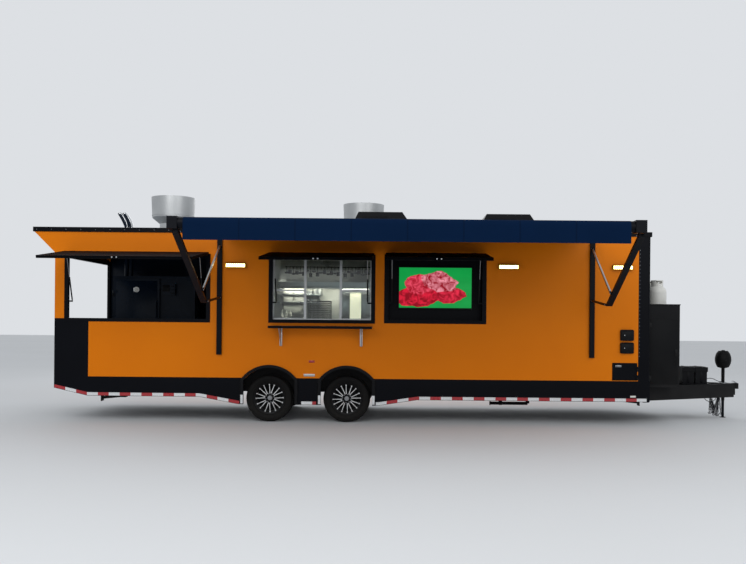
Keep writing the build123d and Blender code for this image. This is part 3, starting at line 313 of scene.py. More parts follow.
# A box between two opposite corners, in either order
def addBlock(corner, other, bevel):
    pick()
    a, b = place(*corner), place(*other)
    bpy.ops.mesh.primitive_cube_add(size=1, location=(a + b) / 2)
    made = bpy.context.object
    made.scale = [abs(s) for s in b - a]
    settle()
    return bevelEdges(made, bevel)


# Boxes given as x from, x to, y from, y to, z from, z to and bevel
def blocks(*rows):
    return [addBlock((x0, y0, z0), (x1, y1, z1), bevel) for x0, x1, y0, y1, z0, z1, bevel in rows]


def addRod(start, end, radius, tip=None, sides=20, bevel=0.0):
    pick()
    a, b = place(*start), place(*end)
    bpy.ops.mesh.primitive_cone_add(vertices=sides, radius1=radius / 1000, depth=(b - a).length,
                                    radius2=(radius if tip is None else tip) / 1000, location=(a + b) / 2,
                                    rotation=(b - a).to_track_quat("Z", "Y").to_euler())
    made = bpy.context.object
    settle()
    return bevelEdges(made, bevel, angle=50) if bevel else made


# A row of low domed rivets, all turned to face the same way
def rivets(points, aim, radius, high):
    return [addRod(point, tuple(Vector(point) + Vector(aim) * high), radius, radius * 0.55, 10)
            for point in points]


# A closed profile of (radius, distance along the axis) turned about an axis through centre
def addTurned(profile, centre, aim=(0, 0, 1), steps=48):
    mesh = bpy.data.meshes.new("turned")
    points = [(r / 1000, 0, h / 1000) for r, h in profile]
    mesh.from_pydata(points, [(i, (i + 1) % len(points)) for i in range(len(points))], [])
    made = newObject("turned", mesh)
    turn = made.modifiers.new("turn", "SCREW")
    turn.steps = turn.render_steps = steps
    turn.use_merge_vertices = True
    turn.merge_threshold = 0.00002
    bpy.ops.object.modifier_apply(modifier="turn")
    bpy.ops.object.mode_set(mode="EDIT")
    bpy.ops.mesh.select_all(action="SELECT")
    bpy.ops.mesh.remove_doubles(threshold=0.00002)
    bpy.ops.mesh.normals_make_consistent(inside=False)
    bpy.ops.object.mode_set(mode="OBJECT")
    made.rotation_euler = Vector(aim).to_track_quat("Z", "Y").to_euler()
    made.location = place(*centre)
    settle()
    return made


# A flat face through points, drawn out by a step along the axes
def drawOut(points, step):
    mesh = bpy.data.meshes.new("outline")
    mesh.from_pydata([place(*point) for point in points], [], [range(len(points))])
    made = newObject("outline", mesh)
    bpy.ops.object.mode_set(mode="EDIT")
    bpy.ops.mesh.select_all(action="SELECT")
    bpy.ops.mesh.extrude_region_move(TRANSFORM_OT_translate={"value": tuple(s / 1000 for s in step)})
    bpy.ops.mesh.select_all(action="SELECT")
    bpy.ops.mesh.normals_make_consistent(inside=False)
    bpy.ops.object.mode_set(mode="OBJECT")
    return made


# A flat outline of (x, z) points on the side plane y, drawn out to y + thick
def addOutline(points, y, thick):
    return drawOut([(x, y, z) for x, z in points], (0, thick, 0))


# A flat outline of (y, z) points on the cross plane x, drawn out to x + thick
def addSection(points, x, thick):
    return drawOut([(x, y, z) for y, z in points], (thick, 0, 0))


# A curve through points, its corners rounded by Bezier handles, turned into a mesh
def addCurve(points, settings):
    curve = bpy.data.curves.new("pipe", "CURVE")
    curve.dimensions = "3D"
    for key, value in settings.items():
        setattr(curve, key, value)
    line = curve.splines.new("BEZIER")
    line.bezier_points.add(len(points) - 1)
    for knot, point in zip(line.bezier_points, points):
        knot.co = place(*point)
        knot.handle_left_type = knot.handle_right_type = "AUTO"
    newObject("pipe", curve)
    bpy.ops.object.convert(target="MESH")
    return bpy.context.object


def addPipe(points, radius, sides=6):
    return addCurve(points, {"bevel_depth": radius / 1000, "bevel_resolution": sides, "use_fill_caps": True})


# The pieces of a wall sheet round its openings, each given as two limits along it, z from and z to
def panelAround(run, z, holes):
    cuts = sorted({*run, *[edge for hole in holes for edge in hole[:2]]})
    pieces = []
    for a, b in zip(cuts, cuts[1:]):
        low = z[0]
        for hole in sorted((h for h in holes if h[0] <= a and h[1] >= b), key=lambda h: h[2]):
            if hole[2] > low:
                pieces.append((a, b, low, hole[2]))
            low = hole[3]
        if z[1] > low:
            pieces.append((a, b, low, z[1]))
    return pieces


def copyPiece(piece, matrix):
    made = piece.copy()
    made.data = piece.data.copy()
    made.data.transform(matrix)
    bpy.context.scene.collection.objects.link(made)
    return made


def joinPieces(group):
    pick(*group)
    if len(group) > 1:
        bpy.ops.object.join()
    return group[0]


# Joins a group, names it and gives it its finish and the body that carries it
def finishPiece(group, name, finish, carrier="root", smooth=30):
    piece = joinPieces(group)
    pick(piece)
    piece.name = piece.data.name = name
    bpy.ops.object.shade_smooth_by_angle(angle=radians(smooth))
    piece.data.materials.clear()
    piece.data.materials.append(finishes[finish])
    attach(piece, carrier)
    return piece


# Awning canopy: coated cloth pulled tight from the wall rail, over the roller, with a valance in front
canopy = {"x": (2770, 8672), "wallY": -1309.3, "wallZ": 3139, "rollerY": -3915, "rollerZ": 2952, "radius": 77,
          "hem": 2722, "sag": 16, "thick": 1.2, "across": 148, "rows": 26, "ripples": 17}


def makeCanopy():
    y0, z0, y1, z1 = (canopy[key] for key in ("wallY", "wallZ", "rollerY", "rollerZ"))
    radius, rows, columns = canopy["radius"], canopy["rows"], canopy["across"]
    run = [(y0 + (y1 - y0) * t / rows, z0 + (z1 + radius - z0) * t / rows - canopy["sag"] * sin(pi * t / rows))
           for t in range(rows + 1)]
    run += [(y1 - radius * sin(pi * t / 12), z1 + radius * cos(pi * t / 12)) for t in range(1, 7)]
    run += [(y1 - radius, z1 - (z1 - canopy["hem"]) * t / 6) for t in range(1, 7)]
    length = [0.0]
    for p, q in zip(run, run[1:]):
        length.append(length[-1] + hypot(q[0] - p[0], q[1] - p[1]))
    pick()
    bpy.ops.mesh.primitive_grid_add(x_subdivisions=columns, y_subdivisions=len(run) - 1, size=1, calc_uvs=True)
    cloth = bpy.context.object
    uvs = cloth.data.uv_layers.active.data
    wide = canopy["x"][1] - canopy["x"][0]
    for corner in cloth.data.loops:
        column, row = corner.vertex_index % (columns + 1), corner.vertex_index // (columns + 1)
        uvs[corner.index].uv = (wide * column / columns / 1000, length[row] / 1000)
    for point in cloth.data.vertices:
        column, row = point.index % (columns + 1), point.index // (columns + 1)
        y, z = run[row]
        along = column / columns
        slack = max(0, row - rows - 6) / 6
        y -= slack * 4 * (1 + sin(2 * pi * along * canopy["ripples"] + 0.8 * sin(9 * along))) * 0.5
        if row <= rows:
            z -= 3 * sin(pi * row / rows) * (0.5 + 0.5 * sin(2 * pi * along * 5))
        point.co = place(canopy["x"][0] + wide * along, y, z)
    cloth.data.update()
    pick(cloth)
    solid = cloth.modifiers.new("cloth", "SOLIDIFY")
    solid.thickness = canopy["thick"] / 1000
    solid.offset = 0
    bpy.ops.object.modifier_apply(modifier="cloth")
    return cloth, (wide / 1000, length[-1] / 1000)


# acrylic-coated polyester, woven: a fine cross weave, drawn at 7 mm, and lap seams every 740 mm
def makeCloth():
    material, tree, shader = newMaterial("coatedPolyester", {"Roughness": 0.78, "Specular IOR Level": 0.12,
                                                             "IOR": 1.25})
    uv = addNode(tree, "TexCoord").outputs["UV"]
    threads = [addNode(tree, "TexWave", {"bands_direction": way},
                       {"Scale": 1000 / 7 / 20 * pi, "Distortion": 0.4}, {"Vector": uv}).outputs["Fac"]
               for way in ("X", "Y")]
    weave = addNode(tree, "Math", {"operation": "MULTIPLY"},
                    links={0: threads[0], 1: threads[1]}).outputs["Value"]
    fade = addNode(tree, "TexNoise", values={"Scale": 1.6, "Detail": 5.0}, links={"Vector": uv}).outputs["Fac"]
    across = addNode(tree, "SeparateXYZ", links={"Vector": uv}).outputs["X"]
    strip = addNode(tree, "Math", {"operation": "PINGPONG"}, {1: 0.37}, {0: across}).outputs["Value"]
    seam = addNode(tree, "Math", {"operation": "LESS_THAN"}, {1: 0.009}, {0: strip}).outputs["Value"]
    colour = mixColours(tree, seam, mixColours(tree, fade, "041730", "051b38"), "04152d")
    tree.links.new(colour, shader.inputs["Base Color"])
    relief = addNode(tree, "Math", {"operation": "MULTIPLY_ADD"}, {1: 0.3}, {0: weave, 2: seam}).outputs["Value"]
    bump = addNode(tree, "Bump", values={"Distance": 0.0008, "Strength": 0.7}, links={"Height": relief})
    tree.links.new(bump.outputs["Normal"], shader.inputs["Normal"])
    return material


finishes["coatedPolyester"] = makeCloth()
awningCloth, clothFlat = makeCanopy()
finishPiece([awningCloth], "awningCloth", "coatedPolyester", smooth=60)
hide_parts("awning_canopy")
print("awning cloth made")

# Wheel, modelled once about its own centre with its face to -y, then copied to the four corners
wheel = {"tyre": 385, "wide": 235, "rim": 262, "bead": 243, "well": 222, "grooves": (-62, -21, 21, 62),
         "grooveWide": 9, "grooveDeep": 8, "blocks": 64, "spokes": 8, "spokeRoot": 78, "spokeTip": 230,
         "nutCircle": 70, "centres": {"front": 4788, "rear": 3520}, "turned": {"front": 9, "rear": 31},
         "hubY": 1152.5}
hubPlace = (body["ballX"], 0, body["ballZ"])


# A point of the wheel's face, given as angle and distance from the centre
def onWheel(angle, far):
    return hubPlace[0] + far * cos(angle), hubPlace[2] + far * sin(angle)


def makeTyre():
    r, w = wheel["tyre"], wheel["wide"] / 2
    tread = [(r - 13, -w + 26), (r - 5, -w + 38)]
    for groove in wheel["grooves"]:
        crown = r - 4 * (groove / w) ** 2
        half = wheel["grooveWide"] / 2
        tread += [(crown, groove - half), (crown - wheel["grooveDeep"], groove - half + 1),
                  (crown - wheel["grooveDeep"], groove + half - 1), (crown, groove + half)]
    tread += [(r - 5, w - 38), (r - 13, w - 26)]
    bead = wheel["bead"] + 0.3
    # sidewall from the bead outwards: radius and distance in from the tyre's full width
    wall = ((bead, 23), (263, 19), (266, 12), (270, 7.5), (275, 7.5), (279, 5.5), (298, 1.6), (310, 0.6),
            (312, -0.3), (330, -0.3), (333, 0.8), (349, 5), (352, 4), (360, 7), (363, 11))
    profile = [(a, -w + b) for a, b in wall] + tread + [(a, w - b) for a, b in reversed(wall)]
    profile += [(bead, w - 45), (322, w - 20), (r - 24, w - 40)]
    profile += [(r - 24, -w + 40), (322, -w + 20), (bead, -w + 45)]
    made = addTurned(profile, hubPlace, (0, 1, 0), wheel["blocks"] * 3)
    # sipes: every third strip of the tread's ribs is pressed in by the depth of a sipe
    pick(made)
    bpy.ops.object.mode_set(mode="EDIT")
    bpy.ops.mesh.select_all(action="DESELECT")
    bpy.ops.object.mode_set(mode="OBJECT")
    pitch = 2 * pi / (wheel["blocks"] * 3)
    for face in made.data.polygons:
        c = face.center
        step = int(round(atan2(c.z, c.x) / pitch - 0.5))
        shoulder = abs(c.y) * 1000 > 66
        face.select = hypot(c.x, c.z) * 1000 > r - 10.5 and step % 3 == (0 if (c.y > 0) != shoulder else 1)
    bpy.ops.object.mode_set(mode="EDIT")
    bpy.ops.mesh.inset(thickness=0.0012, depth=-0.006)
    bpy.ops.object.mode_set(mode="OBJECT")
    return made


def makeRim():
    w, rim, bead, well = wheel["wide"] / 2, wheel["rim"], wheel["bead"], wheel["well"]
    profiles = (
        ([(rim, -w + 19), (bead, -w + 22.7), (bead, -50), (well, -40), (well, 40), (bead, 50), (bead, w - 22.7),
          (rim, w - 19), (rim, w - 12), (bead - 7, w - 16), (bead - 9, 55), (well - 8, 45), (well - 8, -45),
          (bead - 9, -55), (bead - 7, -w + 16), (rim, -w + 12)], 72),
        ([(bead - 9, -w + 30), (bead - 6, -w + 15), (bead + 2, -w + 11), (rim - 3, -w + 8.5), (rim, -w + 10),
          (rim, -w + 12), (bead - 2, -w + 17), (bead - 6, -w + 32)], 72),
        ([(40, 40), (40, -8), (58, -24), (60, -30), (92, -26), (104, -6), (105, 40)], 48),
        ([(0.01, -50), (30, -50), (36, -47), (39, -36), (39.5, -20), (0.01, -20)], 40))
    barrel, lip, hub, cap = (addTurned(profile, hubPlace, (0, 1, 0), steps) for profile, steps in profiles)
    spokes, faces, tips, nuts = [], [], [], []
    for turn in range(wheel["spokes"]):
        middle = 2 * pi * (turn + 0.5) / wheel["spokes"]
        for lean in (-1, 1):
            # a spoke of each pair starts beside its twin at the hub and parts from it towards the lip
            outwards = middle + lean * radians(10.5)
            start = Vector(onWheel(middle + lean * radians(6.5), wheel["spokeRoot"]))
            end = Vector(onWheel(outwards, wheel["spokeTip"]))
            side = Vector((-(end - start).y, (end - start).x)).normalized()
            for group, root, tip, y, thick in ((spokes, 8, 6, -46, 34), (faces, 5.5, 3.8, -48.5, 4)):
                group.append(addOutline([tuple(start + side * root), tuple(end + side * tip),
                                         tuple(end - side * tip), tuple(start - side * root)], y, thick))
            bevelEdges(spokes[-1], 3)
            x, z = onWheel(outwards, wheel["spokeTip"] - 6)
            tips.append(addRod((x, -44, z), (x, -58, z), 13, 10, 16))
        x, z = onWheel(2 * pi * turn / wheel["spokes"], wheel["nutCircle"])
        nuts.append(addRod((x, -24, z), (x, -46, z), 10.5, 8.5, 6, 1.2))
    x, z = hubPlace[0], hubPlace[2]
    valve = addRod((x + 150, -40, z - 172), (x + 138, -74, z - 160), 3.2)
    return [joinPieces(group) for group in ([barrel, lip, hub, valve] + spokes, faces + tips, [cap], nuts)]


# name, finish, slot and replaced node of each part of a wheel
wheelParts = (("tyreDressed", "tyreRubber", "tyre", "tyre"), ("rimBarrel", "wheelBlack", "rim", "rim"),
              ("rimFace", "machinedAlloy", "rim", None), ("hubCap", "greyPlastic", "rim", None),
              ("wheelNuts", "zincPlate", "zinc", None))
models = [makeTyre()] + makeRim()
for axle, x in wheel["centres"].items():
    for sideName, side in sides.items():
        matrix = Matrix.Translation(place(x, side * wheel["hubY"], wheel["tyre"]))
        if side > 0:
            matrix = matrix @ Matrix.Rotation(pi, 4, "Z")
        spun = matrix @ Matrix.Rotation(radians(wheel["turned"][axle]), 4, "Y")
        for model, (name, finish, slot, replaced) in zip(models, wheelParts):
            piece = finishPiece([copyPiece(model, spun)], f"{name}_{axle}_{sideName}", finish,
                                f"wheel_{axle}_{sideName}")
            if replaced:
                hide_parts(f"{replaced}_{axle}_{sideName}")
for model in models:
    bpy.data.objects.remove(model)

# Brake dust shields: a pressed disc with a rolled rim round each drum, inboard of the rim
shield = {"inner": 150.6, "outer": 228, "y": 1036, "sheet": 1.6}
inner, outer, sheet = shield["inner"], shield["outer"], shield["sheet"]
profile = [(inner, 0), (outer - 14, 0), (outer - 6, 3), (outer, 4), (outer, 4 + sheet), (outer - 7, 3 + sheet),
           (outer - 15, sheet), (inner, sheet)]
finishPiece([addTurned(profile, (x, side * shield["y"], wheel["tyre"]), (0, side, 0), 64)
             for x in wheel["centres"].values() for side in (-1, 1)],
            "brakeShields", "powderCoat")
print("wheels made")

# Reflective tape: red and white pieces along the skirt's lower edge
tape = {"piece": 178, "high": 50, "thick": 0.6, "lift": 6,
        "line": ((0, 532), (555, 406), (2383, 403), (3020, 288), (5310, 283), (5945, 380), (9752, 381)),
        "spans": ((8, 3040), (4050, 4290), (5268, 9700))}


def skirtEdge(x):
    for (x0, z0), (x1, z1) in zip(tape["line"], tape["line"][1:]):
        if x0 <= x <= x1:
            return z0 + (z1 - z0) * (x - x0) / (x1 - x0)
    return tape["line"][-1][1]


# prismatic reflective film: a honeycomb that brightens cell by cell, drawn at 12 mm
def makeTapeFinish(name, colour, second):
    material = makeFinish(name, colour, second, 300, 12, 0.05, (0.25, 0.4), coat=0.4)
    tree = material.node_tree
    cells = addNode(tree, "TexVoronoi", values={"Scale": 1000 / 12},
                    links={"Vector": addNode(tree, "TexCoord").outputs["Object"]})
    bright = addNode(tree, "MapRange", values={"To Min": 0.78, "To Max": 1.0},
                     links={"Value": cells.outputs["Distance"]})
    base = tree.nodes["Principled BSDF"].inputs["Base Color"]
    dimmed = addNode(tree, "Mix", {"data_type": "RGBA", "blend_type": "MULTIPLY"}, {"Factor": 1.0},
                     {"A": base.links[0].from_socket, "B": bright.outputs["Result"]})
    tree.links.new(dimmed.outputs["Result"], base)
    return material


finishes["tapeRed"] = makeTapeFinish("tapeRed", "b0131f", "a00f1a")
finishes["tapeWhite"] = makeTapeFinish("tapeWhite", "e6e8ea", "d8dadc")
for sideName, side in sides.items():
    groups = {"tapeRed": [], "tapeWhite": []}
    index = 0
    for start, stop in tape["spans"]:
        x = start
        while x < stop - 20:
            end = min(x + tape["piece"], stop)
            bends = [px for px, _ in tape["line"] if x + 1 < px < end - 1]
            for a, b in zip([x] + bends, bends + [end]):
                low, high = skirtEdge(a) + tape["lift"], skirtEdge(b) + tape["lift"]
                outline = [(a, low), (b, high), (b, high + tape["high"]), (a, low + tape["high"])]
                groups["tapeWhite" if index % 2 else "tapeRed"].append(
                    addOutline(outline, side * body["half"], side * tape["thick"]))
            x = end
            index += 1
    for finish, group in groups.items():
        finishPiece(group, f"{finish}_{sideName}", finish)
print("reflective tape laid")

# Linings: white coated panels in the kitchen and dark ones in the porch, on the shell's inner faces; the porch's
# dark is painted shade
lining = {"thick": 4, "kitchen": (2601, 9706), "porch": (46, 2559), "z": (723, 3089),
          "entry": (7560, 8370, 722, 2700), "wells": (3035, 5273, 722, 940), "doorway": (-420, 330, 722, 2650),
          "porchHole": (150, 2553, 1613, 2752), "hatchway": (9131, 9545, 722, 1020),
          "batten": 1220, "trim": 40, "kneeY": 800, "floorZ": 722}
x0, x1, y = *lining["kitchen"], body["inside"]
curbHoles = [openings["serving"], openings["screen"], lining["hatchway"], lining["wells"]]
for name, x, holes, side, finish in (
        ("kitchenLiningRoadside", lining["kitchen"], [lining["entry"], lining["wells"]], 1, "panelWhite"),
        ("kitchenLiningCurbside", lining["kitchen"], curbHoles, -1, "panelWhite"),
        ("porchLiningRoadside", lining["porch"], [], 1, "porchShadeLining"),
        ("porchLiningCurbside", lining["porch"], [lining["porchHole"]], -1, "porchShadeLining")):
    finishPiece([addBlock((a, side * y, low), (b, side * (y - lining["thick"]), high), 0.6)
                 for a, b, low, high in panelAround(x, lining["z"], holes)], name, finish)
# the porch ceiling and the partition's porch face take the same painted shade as the porch walls
for name, (x0, x1), finish in (("kitchenCeiling", lining["kitchen"], "panelWhite"),
                               ("porchCeiling", lining["porch"], "porchShadeLining")):
    battens = blocks(*[(x0 + step, x0 + step + 30, 5 - y, y - 5, 3083, 3086, 1)
                       for step in range(600, x1 - x0 - 100, lining["batten"])])
    finishPiece(blocks((x0, x1, 5 - y, y - 5, 3086, 3090, 0.6)) + battens, name, finish)
finishPiece(blocks(*[(2556, 2560, *face, 0.6) for face in panelAround((5 - y, y - 5), lining["z"],
                                                                      [lining["doorway"]])]),
            "partitionFacing", "porchShadeLining")
y0, y1, z0, z1 = lining["doorway"]
top = z1 + lining["trim"]
finishPiece(blocks(*[(2552, 2556, a, b, low, top, 1.5) for a, b, low in (
    (y0 - lining["trim"], y0, z0), (y1, y1 + lining["trim"], z0), (y0, y1, z1))]),
    "doorwayTrim", "anodised")
finishPiece(blocks(*[(a, b, -half, half, lining["floorZ"], lining["floorZ"] + 3, 0.6) for a, b, half in (
    (48, 2556, 1244), (2604, 3030, 1244), (3030, 5280, lining["kneeY"]), (5280, 9704, 1244))]),
    "floorCovering", "treadPlate")
print("linings made")

# Kitchen goods on the roadside counter, seen through the serving window
kitchen = {"top": 1600, "wall": 1240, "battens": ((3300, 4700), (5200, 6600)), "shelves": (2010, 2160),
           "shelfX": (3320, 4180), "cabinet": (4520, 5230, 820, 1600, 2270), "glow": (4715, 4925, 1690, 2190),
           "hoodX": (3400, 6900), "hoodY": 560}
finishPiece(blocks(*[(a, b, 300, 420, 3052, 3084, 8) for a, b in kitchen["battens"]]),
            "ceilingBattens", "panelWhite")
finishPiece(blocks(*[(a + 15, b - 15, 312, 408, 3047, 3053, 3) for a, b in kitchen["battens"]]),
            "battenLenses", "battenLight")
finishPiece(blocks(*[(a, a + 760, 760, 1020, 2288, 2299, 2) for a in (3440, 4310, 5180, 6050)]),
            "hoodLights", "stripLight")
(x0, x1), y = kitchen["hoodX"], kitchen["hoodY"]
finishPiece(blocks((x0, x1, y - 3, y, 2258, 2302, 1), (x0, x0 + 3, y, 1240, 2258, 2300, 1),
                   (x1 - 3, x1, y, 1240, 2258, 2300, 1)), "hoodLip", "brushedStainless")
shelving = []
x0, x1 = kitchen["shelfX"]
for z in kitchen["shelves"]:
    shelving += blocks((x0, x1, 930, kitchen["wall"], z, z + 3, 0.8), (x0, x1, 927, 930, z - 26, z + 3, 0.8))
    shelving += [addSection([(kitchen["wall"], z), (950, z), (kitchen["wall"], z - 130)], x, 4)
                 for x in (x0 + 60, x1 - 66)]
finishPiece(shelving, "wallShelves", "brushedStainless")
finishPiece([addTurned([(0.01, 0), (r, 0), (r + 4, 6), (r + 6, high), (r + 12, high + 1), (r + 12, high + 3),
                        (r + 2, high + 2), (r, 8), (0.01, 4)], (x, y, z), (0, 0, 1), 32)
             for x, y, z, r, high in ((3960, 1090, 2013, 100, 55), (4080, 1060, 2163, 70, 90),
                                      (3900, 1090, 2163, 95, 60))], "shelfPans", "brushedStainless")
tubs = []
for x, z, wide, high in ((3440, 2013, 190, 112), (3645, 2013, 190, 112), (3440, 2163, 190, 100),
                         (3645, 2163, 190, 100), (3450, 1790, 370, 170)):
    tubs += blocks((x, x + wide, 950, 1200, z, z + high - 12, 8),
                   (x - 5, x + wide + 5, 944, 1206, z + high - 12, z + high, 3))
finishPiece(tubs, "foodTubs", "panelWhite")
x0, x1, y, z0, z1 = kitchen["cabinet"]
a, b, low, high = kitchen["glow"]
cabinetParts = blocks((x0, x1, y, kitchen["wall"], z0 + 40, z1, 6),
                      (x0 + 12, a - 15, y - 14, y, z0 + 60, z1 - 20, 4),
                      (b + 15, x1 - 12, y - 14, y, z0 + 60, z1 - 20, 4))
cabinetParts += blocks(*[(x, x + 40, foot, foot + 40, z0, z0 + 40, 4) for x in (x0 + 20, x1 - 60)
                         for foot in (y + 20, 1180)])
finishPiece(cabinetParts, "warmingCabinet", "brushedStainless")
finishPiece(blocks((a, b, y - 6, y, low, high, 2)), "warmingCabinetGlass", "warmGlow")
cage = {"x": (3926, 4337), "y": (860, 1160), "z": (1650, 2030), "wire": 3.0, "frame": 7}
(x0, x1), (y0, y1), (z0, z1) = cage["x"], cage["y"], cage["z"]
upright = [((x, y, z0), (x, y, z1)) for x in range(x0, x1 + 1, 24) for y in (y0, y1)]
levels = [(z, cage["wire"], 6) for z in range(z0, z1 + 1, 34)]
wires = [addRod(start, end, cage["wire"], sides=6) for start, end in upright]
for z, radius, count in levels + [(z0, cage["frame"], 12), (z1, cage["frame"], 12)]:
    wires += [addRod((x0, y, z), (x1, y, z), radius, sides=count) for y in (y0, y1)]
    wires += [addRod((x, y0, z), (x, y1, z), radius, sides=count) for x in (x0, x1)]
wires += [addRod((x, y, z0), (x, y, z1), cage["frame"], sides=12) for x in (x0, x1) for y in (y0, y1)]
finishPiece(wires, "wireBasket", "blackWire")
finishPiece(blocks((x0 - 8, x1 + 8, y0 - 6, y1 + 6, kitchen["top"] + 1, z0, 6)),
            "basketDrawer", "brushedStainless")
crockery = blocks((3365, 3640, 850, 1180, 1602, 1640, 8), (3380, 3625, 865, 1165, 1640, 1700, 6))
crockery += [addTurned([(0.01, 0), (26, 0), (28, 6), (28, 90), (12, 118), (11, 140), (14, 141), (14, 152),
                        (0.01, 152)], (x, y, 1700), (0, 0, 1), 24)
             for x, y in ((3420, 900), (3500, 920), (3580, 900), (3460, 1050), (3560, 1060))]
finishPiece(crockery, "traysAndBottles", "panelWhite")
# a rail of ladles and turners in front of the hood
rack = {"x": (3520, 5160), "y": 540, "z": 2655, "pitch": 64, "lengths": (95, 60, 120, 75, 105)}
(x0, x1), y, z = rack["x"], rack["y"], rack["z"]
tools = [addRod((x0, y, z), (x1, y, z), 8, sides=12, bevel=1)]
tools += [addRod((x, y, z), (x, y + 215, z + 15), 7, sides=10) for x in (x0 + 40, (x0 + x1) / 2, x1 - 40)]
for index, x in enumerate(range(x0 + 30, x1 - 20, rack["pitch"])):
    foot = z - rack["lengths"][index % len(rack["lengths"])]
    tools.append(addRod((x, y - 10, z + 12), (x, y - 10, foot), 5, sides=10))
    if index % 2:
        tools += blocks((x - 32, x + 32, y - 13, y - 8, foot - 70, foot + 6, 2))
    else:
        tools.append(addTurned([(0.01, 0), (24, 4), (36, 20), (38, 34), (35, 34), (32, 20), (20, 8), (0.01, 4)],
                               (x, y - 10, foot - 30), (0, 0, 1), 24))
finishPiece(tools, "utensilRail", "darkSteel")
print("kitchen goods made")

# Display: lit picture in a thin bezel, with lamps in the header above it
display = {"x": (5619, 6846), "z": (1872, 2573), "y": -1170, "side": 16, "low": 22,
           "lamps": (5655, 5690, 5725, 5760, 6235, 6262, 6289, 6316)}
(x0, x1), (z0, z1), y, rim, foot = (display[key] for key in ("x", "z", "y", "side", "low"))
finishPiece(blocks(*[(a, b, y - 3, y, c, d, 1.2) for a, b, c, d in (
    (x0, x1, z0, z0 + foot), (x0, x1, z1 - rim, z1), (x0, x0 + rim, z0 + foot, z1 - rim),
    (x1 - rim, x1, z0 + foot, z1 - rim))]), "displayBezel", "mouldedAbs")


# lit panel behind glass: a green ground with soft coral shapes, edges wavered by noise
def makePicture():
    material, tree, shader = newMaterial("litPanel", {"Base Color": toLinear("050505"), "IOR": 1.25,
                                                      "Emission Strength": 0.95, "Roughness": 0.3})
    low, high = place(x0, 0, z0), place(x1, 0, z1)
    size = high - low
    where = addNode(tree, "TexCoord").outputs["Object"]
    panel = addNode(tree, "Mapping", values={"Location": (-low.x / size.x, 0, -low.z / size.z),
                                             "Scale": (1 / size.x, 0, 1 / size.z)},
                    links={"Vector": where}).outputs["Vector"]
    noise = addNode(tree, "TexNoise", values={"Scale": 3.4, "Detail": 3.0}, links={"Vector": panel})
    waver = addNode(tree, "VectorMath", {"operation": "MULTIPLY_ADD"}, {1: (0.3, 0, 0.3)},
                    {0: noise.outputs["Color"], 2: panel}).outputs["Vector"]
    shade = addNode(tree, "TexNoise", values={"Scale": 11.0, "Detail": 5.0, "Distortion": 1.2},
                    links={"Vector": where})
    shade = addNode(tree, "MapRange", values={"From Min": 0.38, "From Max": 0.68},
                    links={"Value": shade.outputs["Fac"]}).outputs["Result"]
    mixed = mixColours(tree, noise.outputs["Fac"], "0c8a3c", "17a84c")
    for centre, radius, tall, dark, light in (((0.26, 0.30), 0.33, 1.35, "8e0018", "e81c3c"),
                                              ((0.72, 0.33), 0.18, 1.1, "9a001c", "ec2c4a"),
                                              ((0.30, 0.58), 0.21, 1.0, "a4041e", "f4506a"),
                                              ((0.56, 0.62), 0.22, 0.9, "98001a", "fa9cac")):
        away = addNode(tree, "VectorMath", {"operation": "SUBTRACT"},
                       {1: (centre[0] + 0.15, 0, centre[1] + 0.15)}, {0: waver}).outputs["Vector"]
        away = addNode(tree, "VectorMath", {"operation": "MULTIPLY"}, {1: (1, 0, tall)},
                       {0: away}).outputs["Vector"]
        far = addNode(tree, "VectorMath", {"operation": "LENGTH"}, links={0: away}).outputs["Value"]
        inside = addNode(tree, "MapRange", values={"From Min": radius, "From Max": radius + 0.012, "To Min": 1.0,
                                                   "To Max": 0.0}, links={"Value": far}).outputs["Result"]
        mixed = mixColours(tree, inside, mixed, mixColours(tree, shade, dark, light))
    tree.links.new(mixed, shader.inputs["Emission Color"])
    return material


finishes["litPanel"] = makePicture()
finishPiece(blocks((x0 + rim, x1 - rim, y - 1.5, y, z0 + foot, z1 - rim, 0.4)),
            "litPicture", "litPanel")
finishPiece([addRod((x, -1300, 2731), (x, -1304, 2731), 9, 7, 16, 1) for x in display["lamps"]],
            "headerLamps", "ledWhite")
print("display made")

# Light bars: lit lenses with two rows of cells, cooling fins above and bolts at the lugs
bars = {"places": ((2964, 2556), (7419, 2569), (9280, 2577)), "half": 165, "y": -1357}
glass, cells, fins = [], [], []
y = bars["y"]
for x, z in bars["places"]:
    glass += blocks((x - bars["half"] + 8, x + bars["half"] - 8, y - 2, y, z - 28, z + 28, 1))
    for row in (-14, 14):
        for step in range(10):
            at = x - 137 + step * 30.5
            cells.append(addRod((at, y - 2, z + row), (at, y - 5, z + row), 11, 8, 16, 1))
    fins += blocks(*[(at, at + 4, y + 6, y + 38, z + 36, z + 47, 0.8) for at in range(x - 150, x + 151, 20)])
    fins += [addRod((lug - 22, -1307, z), (lug + 22, -1307, z), 7, sides=6, bevel=1)
             for lug in (x - 120, x + 120)]
finishPiece(glass, "lightBarGlass", "ledWarm")
finishPiece(cells, "lightBarCells", "ledWhite")
finishPiece(fins, "lightBarFins", "mouldedAbs")
print("light bars made")

# Hatches: gasket, ribs, catches and hem, laid on each raised lid from its hinge outwards
hatch = {"hingeY": -1330, "rise": 6, "open": 82, "lap": 20, "gasket": 44, "wide": 32, "ribs": (0.33, 0.67)}
tilt = radians(90 - hatch["open"])
outwards, downwards = Vector((-cos(tilt), -sin(tilt))), Vector((sin(tilt), -cos(tilt)))


def onLid(pivot, along, depth):
    return tuple(pivot + outwards * along + downwards * depth)


# A strip on a lid, given as two limits across, two along it and two of depth
def lidStrip(pivot, x, along, depth, edge=1.0):
    corners = ((along[0], depth[0]), (along[1], depth[0]), (along[1], depth[1]), (along[0], depth[1]))
    return bevelEdges(addSection([onLid(pivot, *corner) for corner in corners], x[0], x[1] - x[0]), edge)


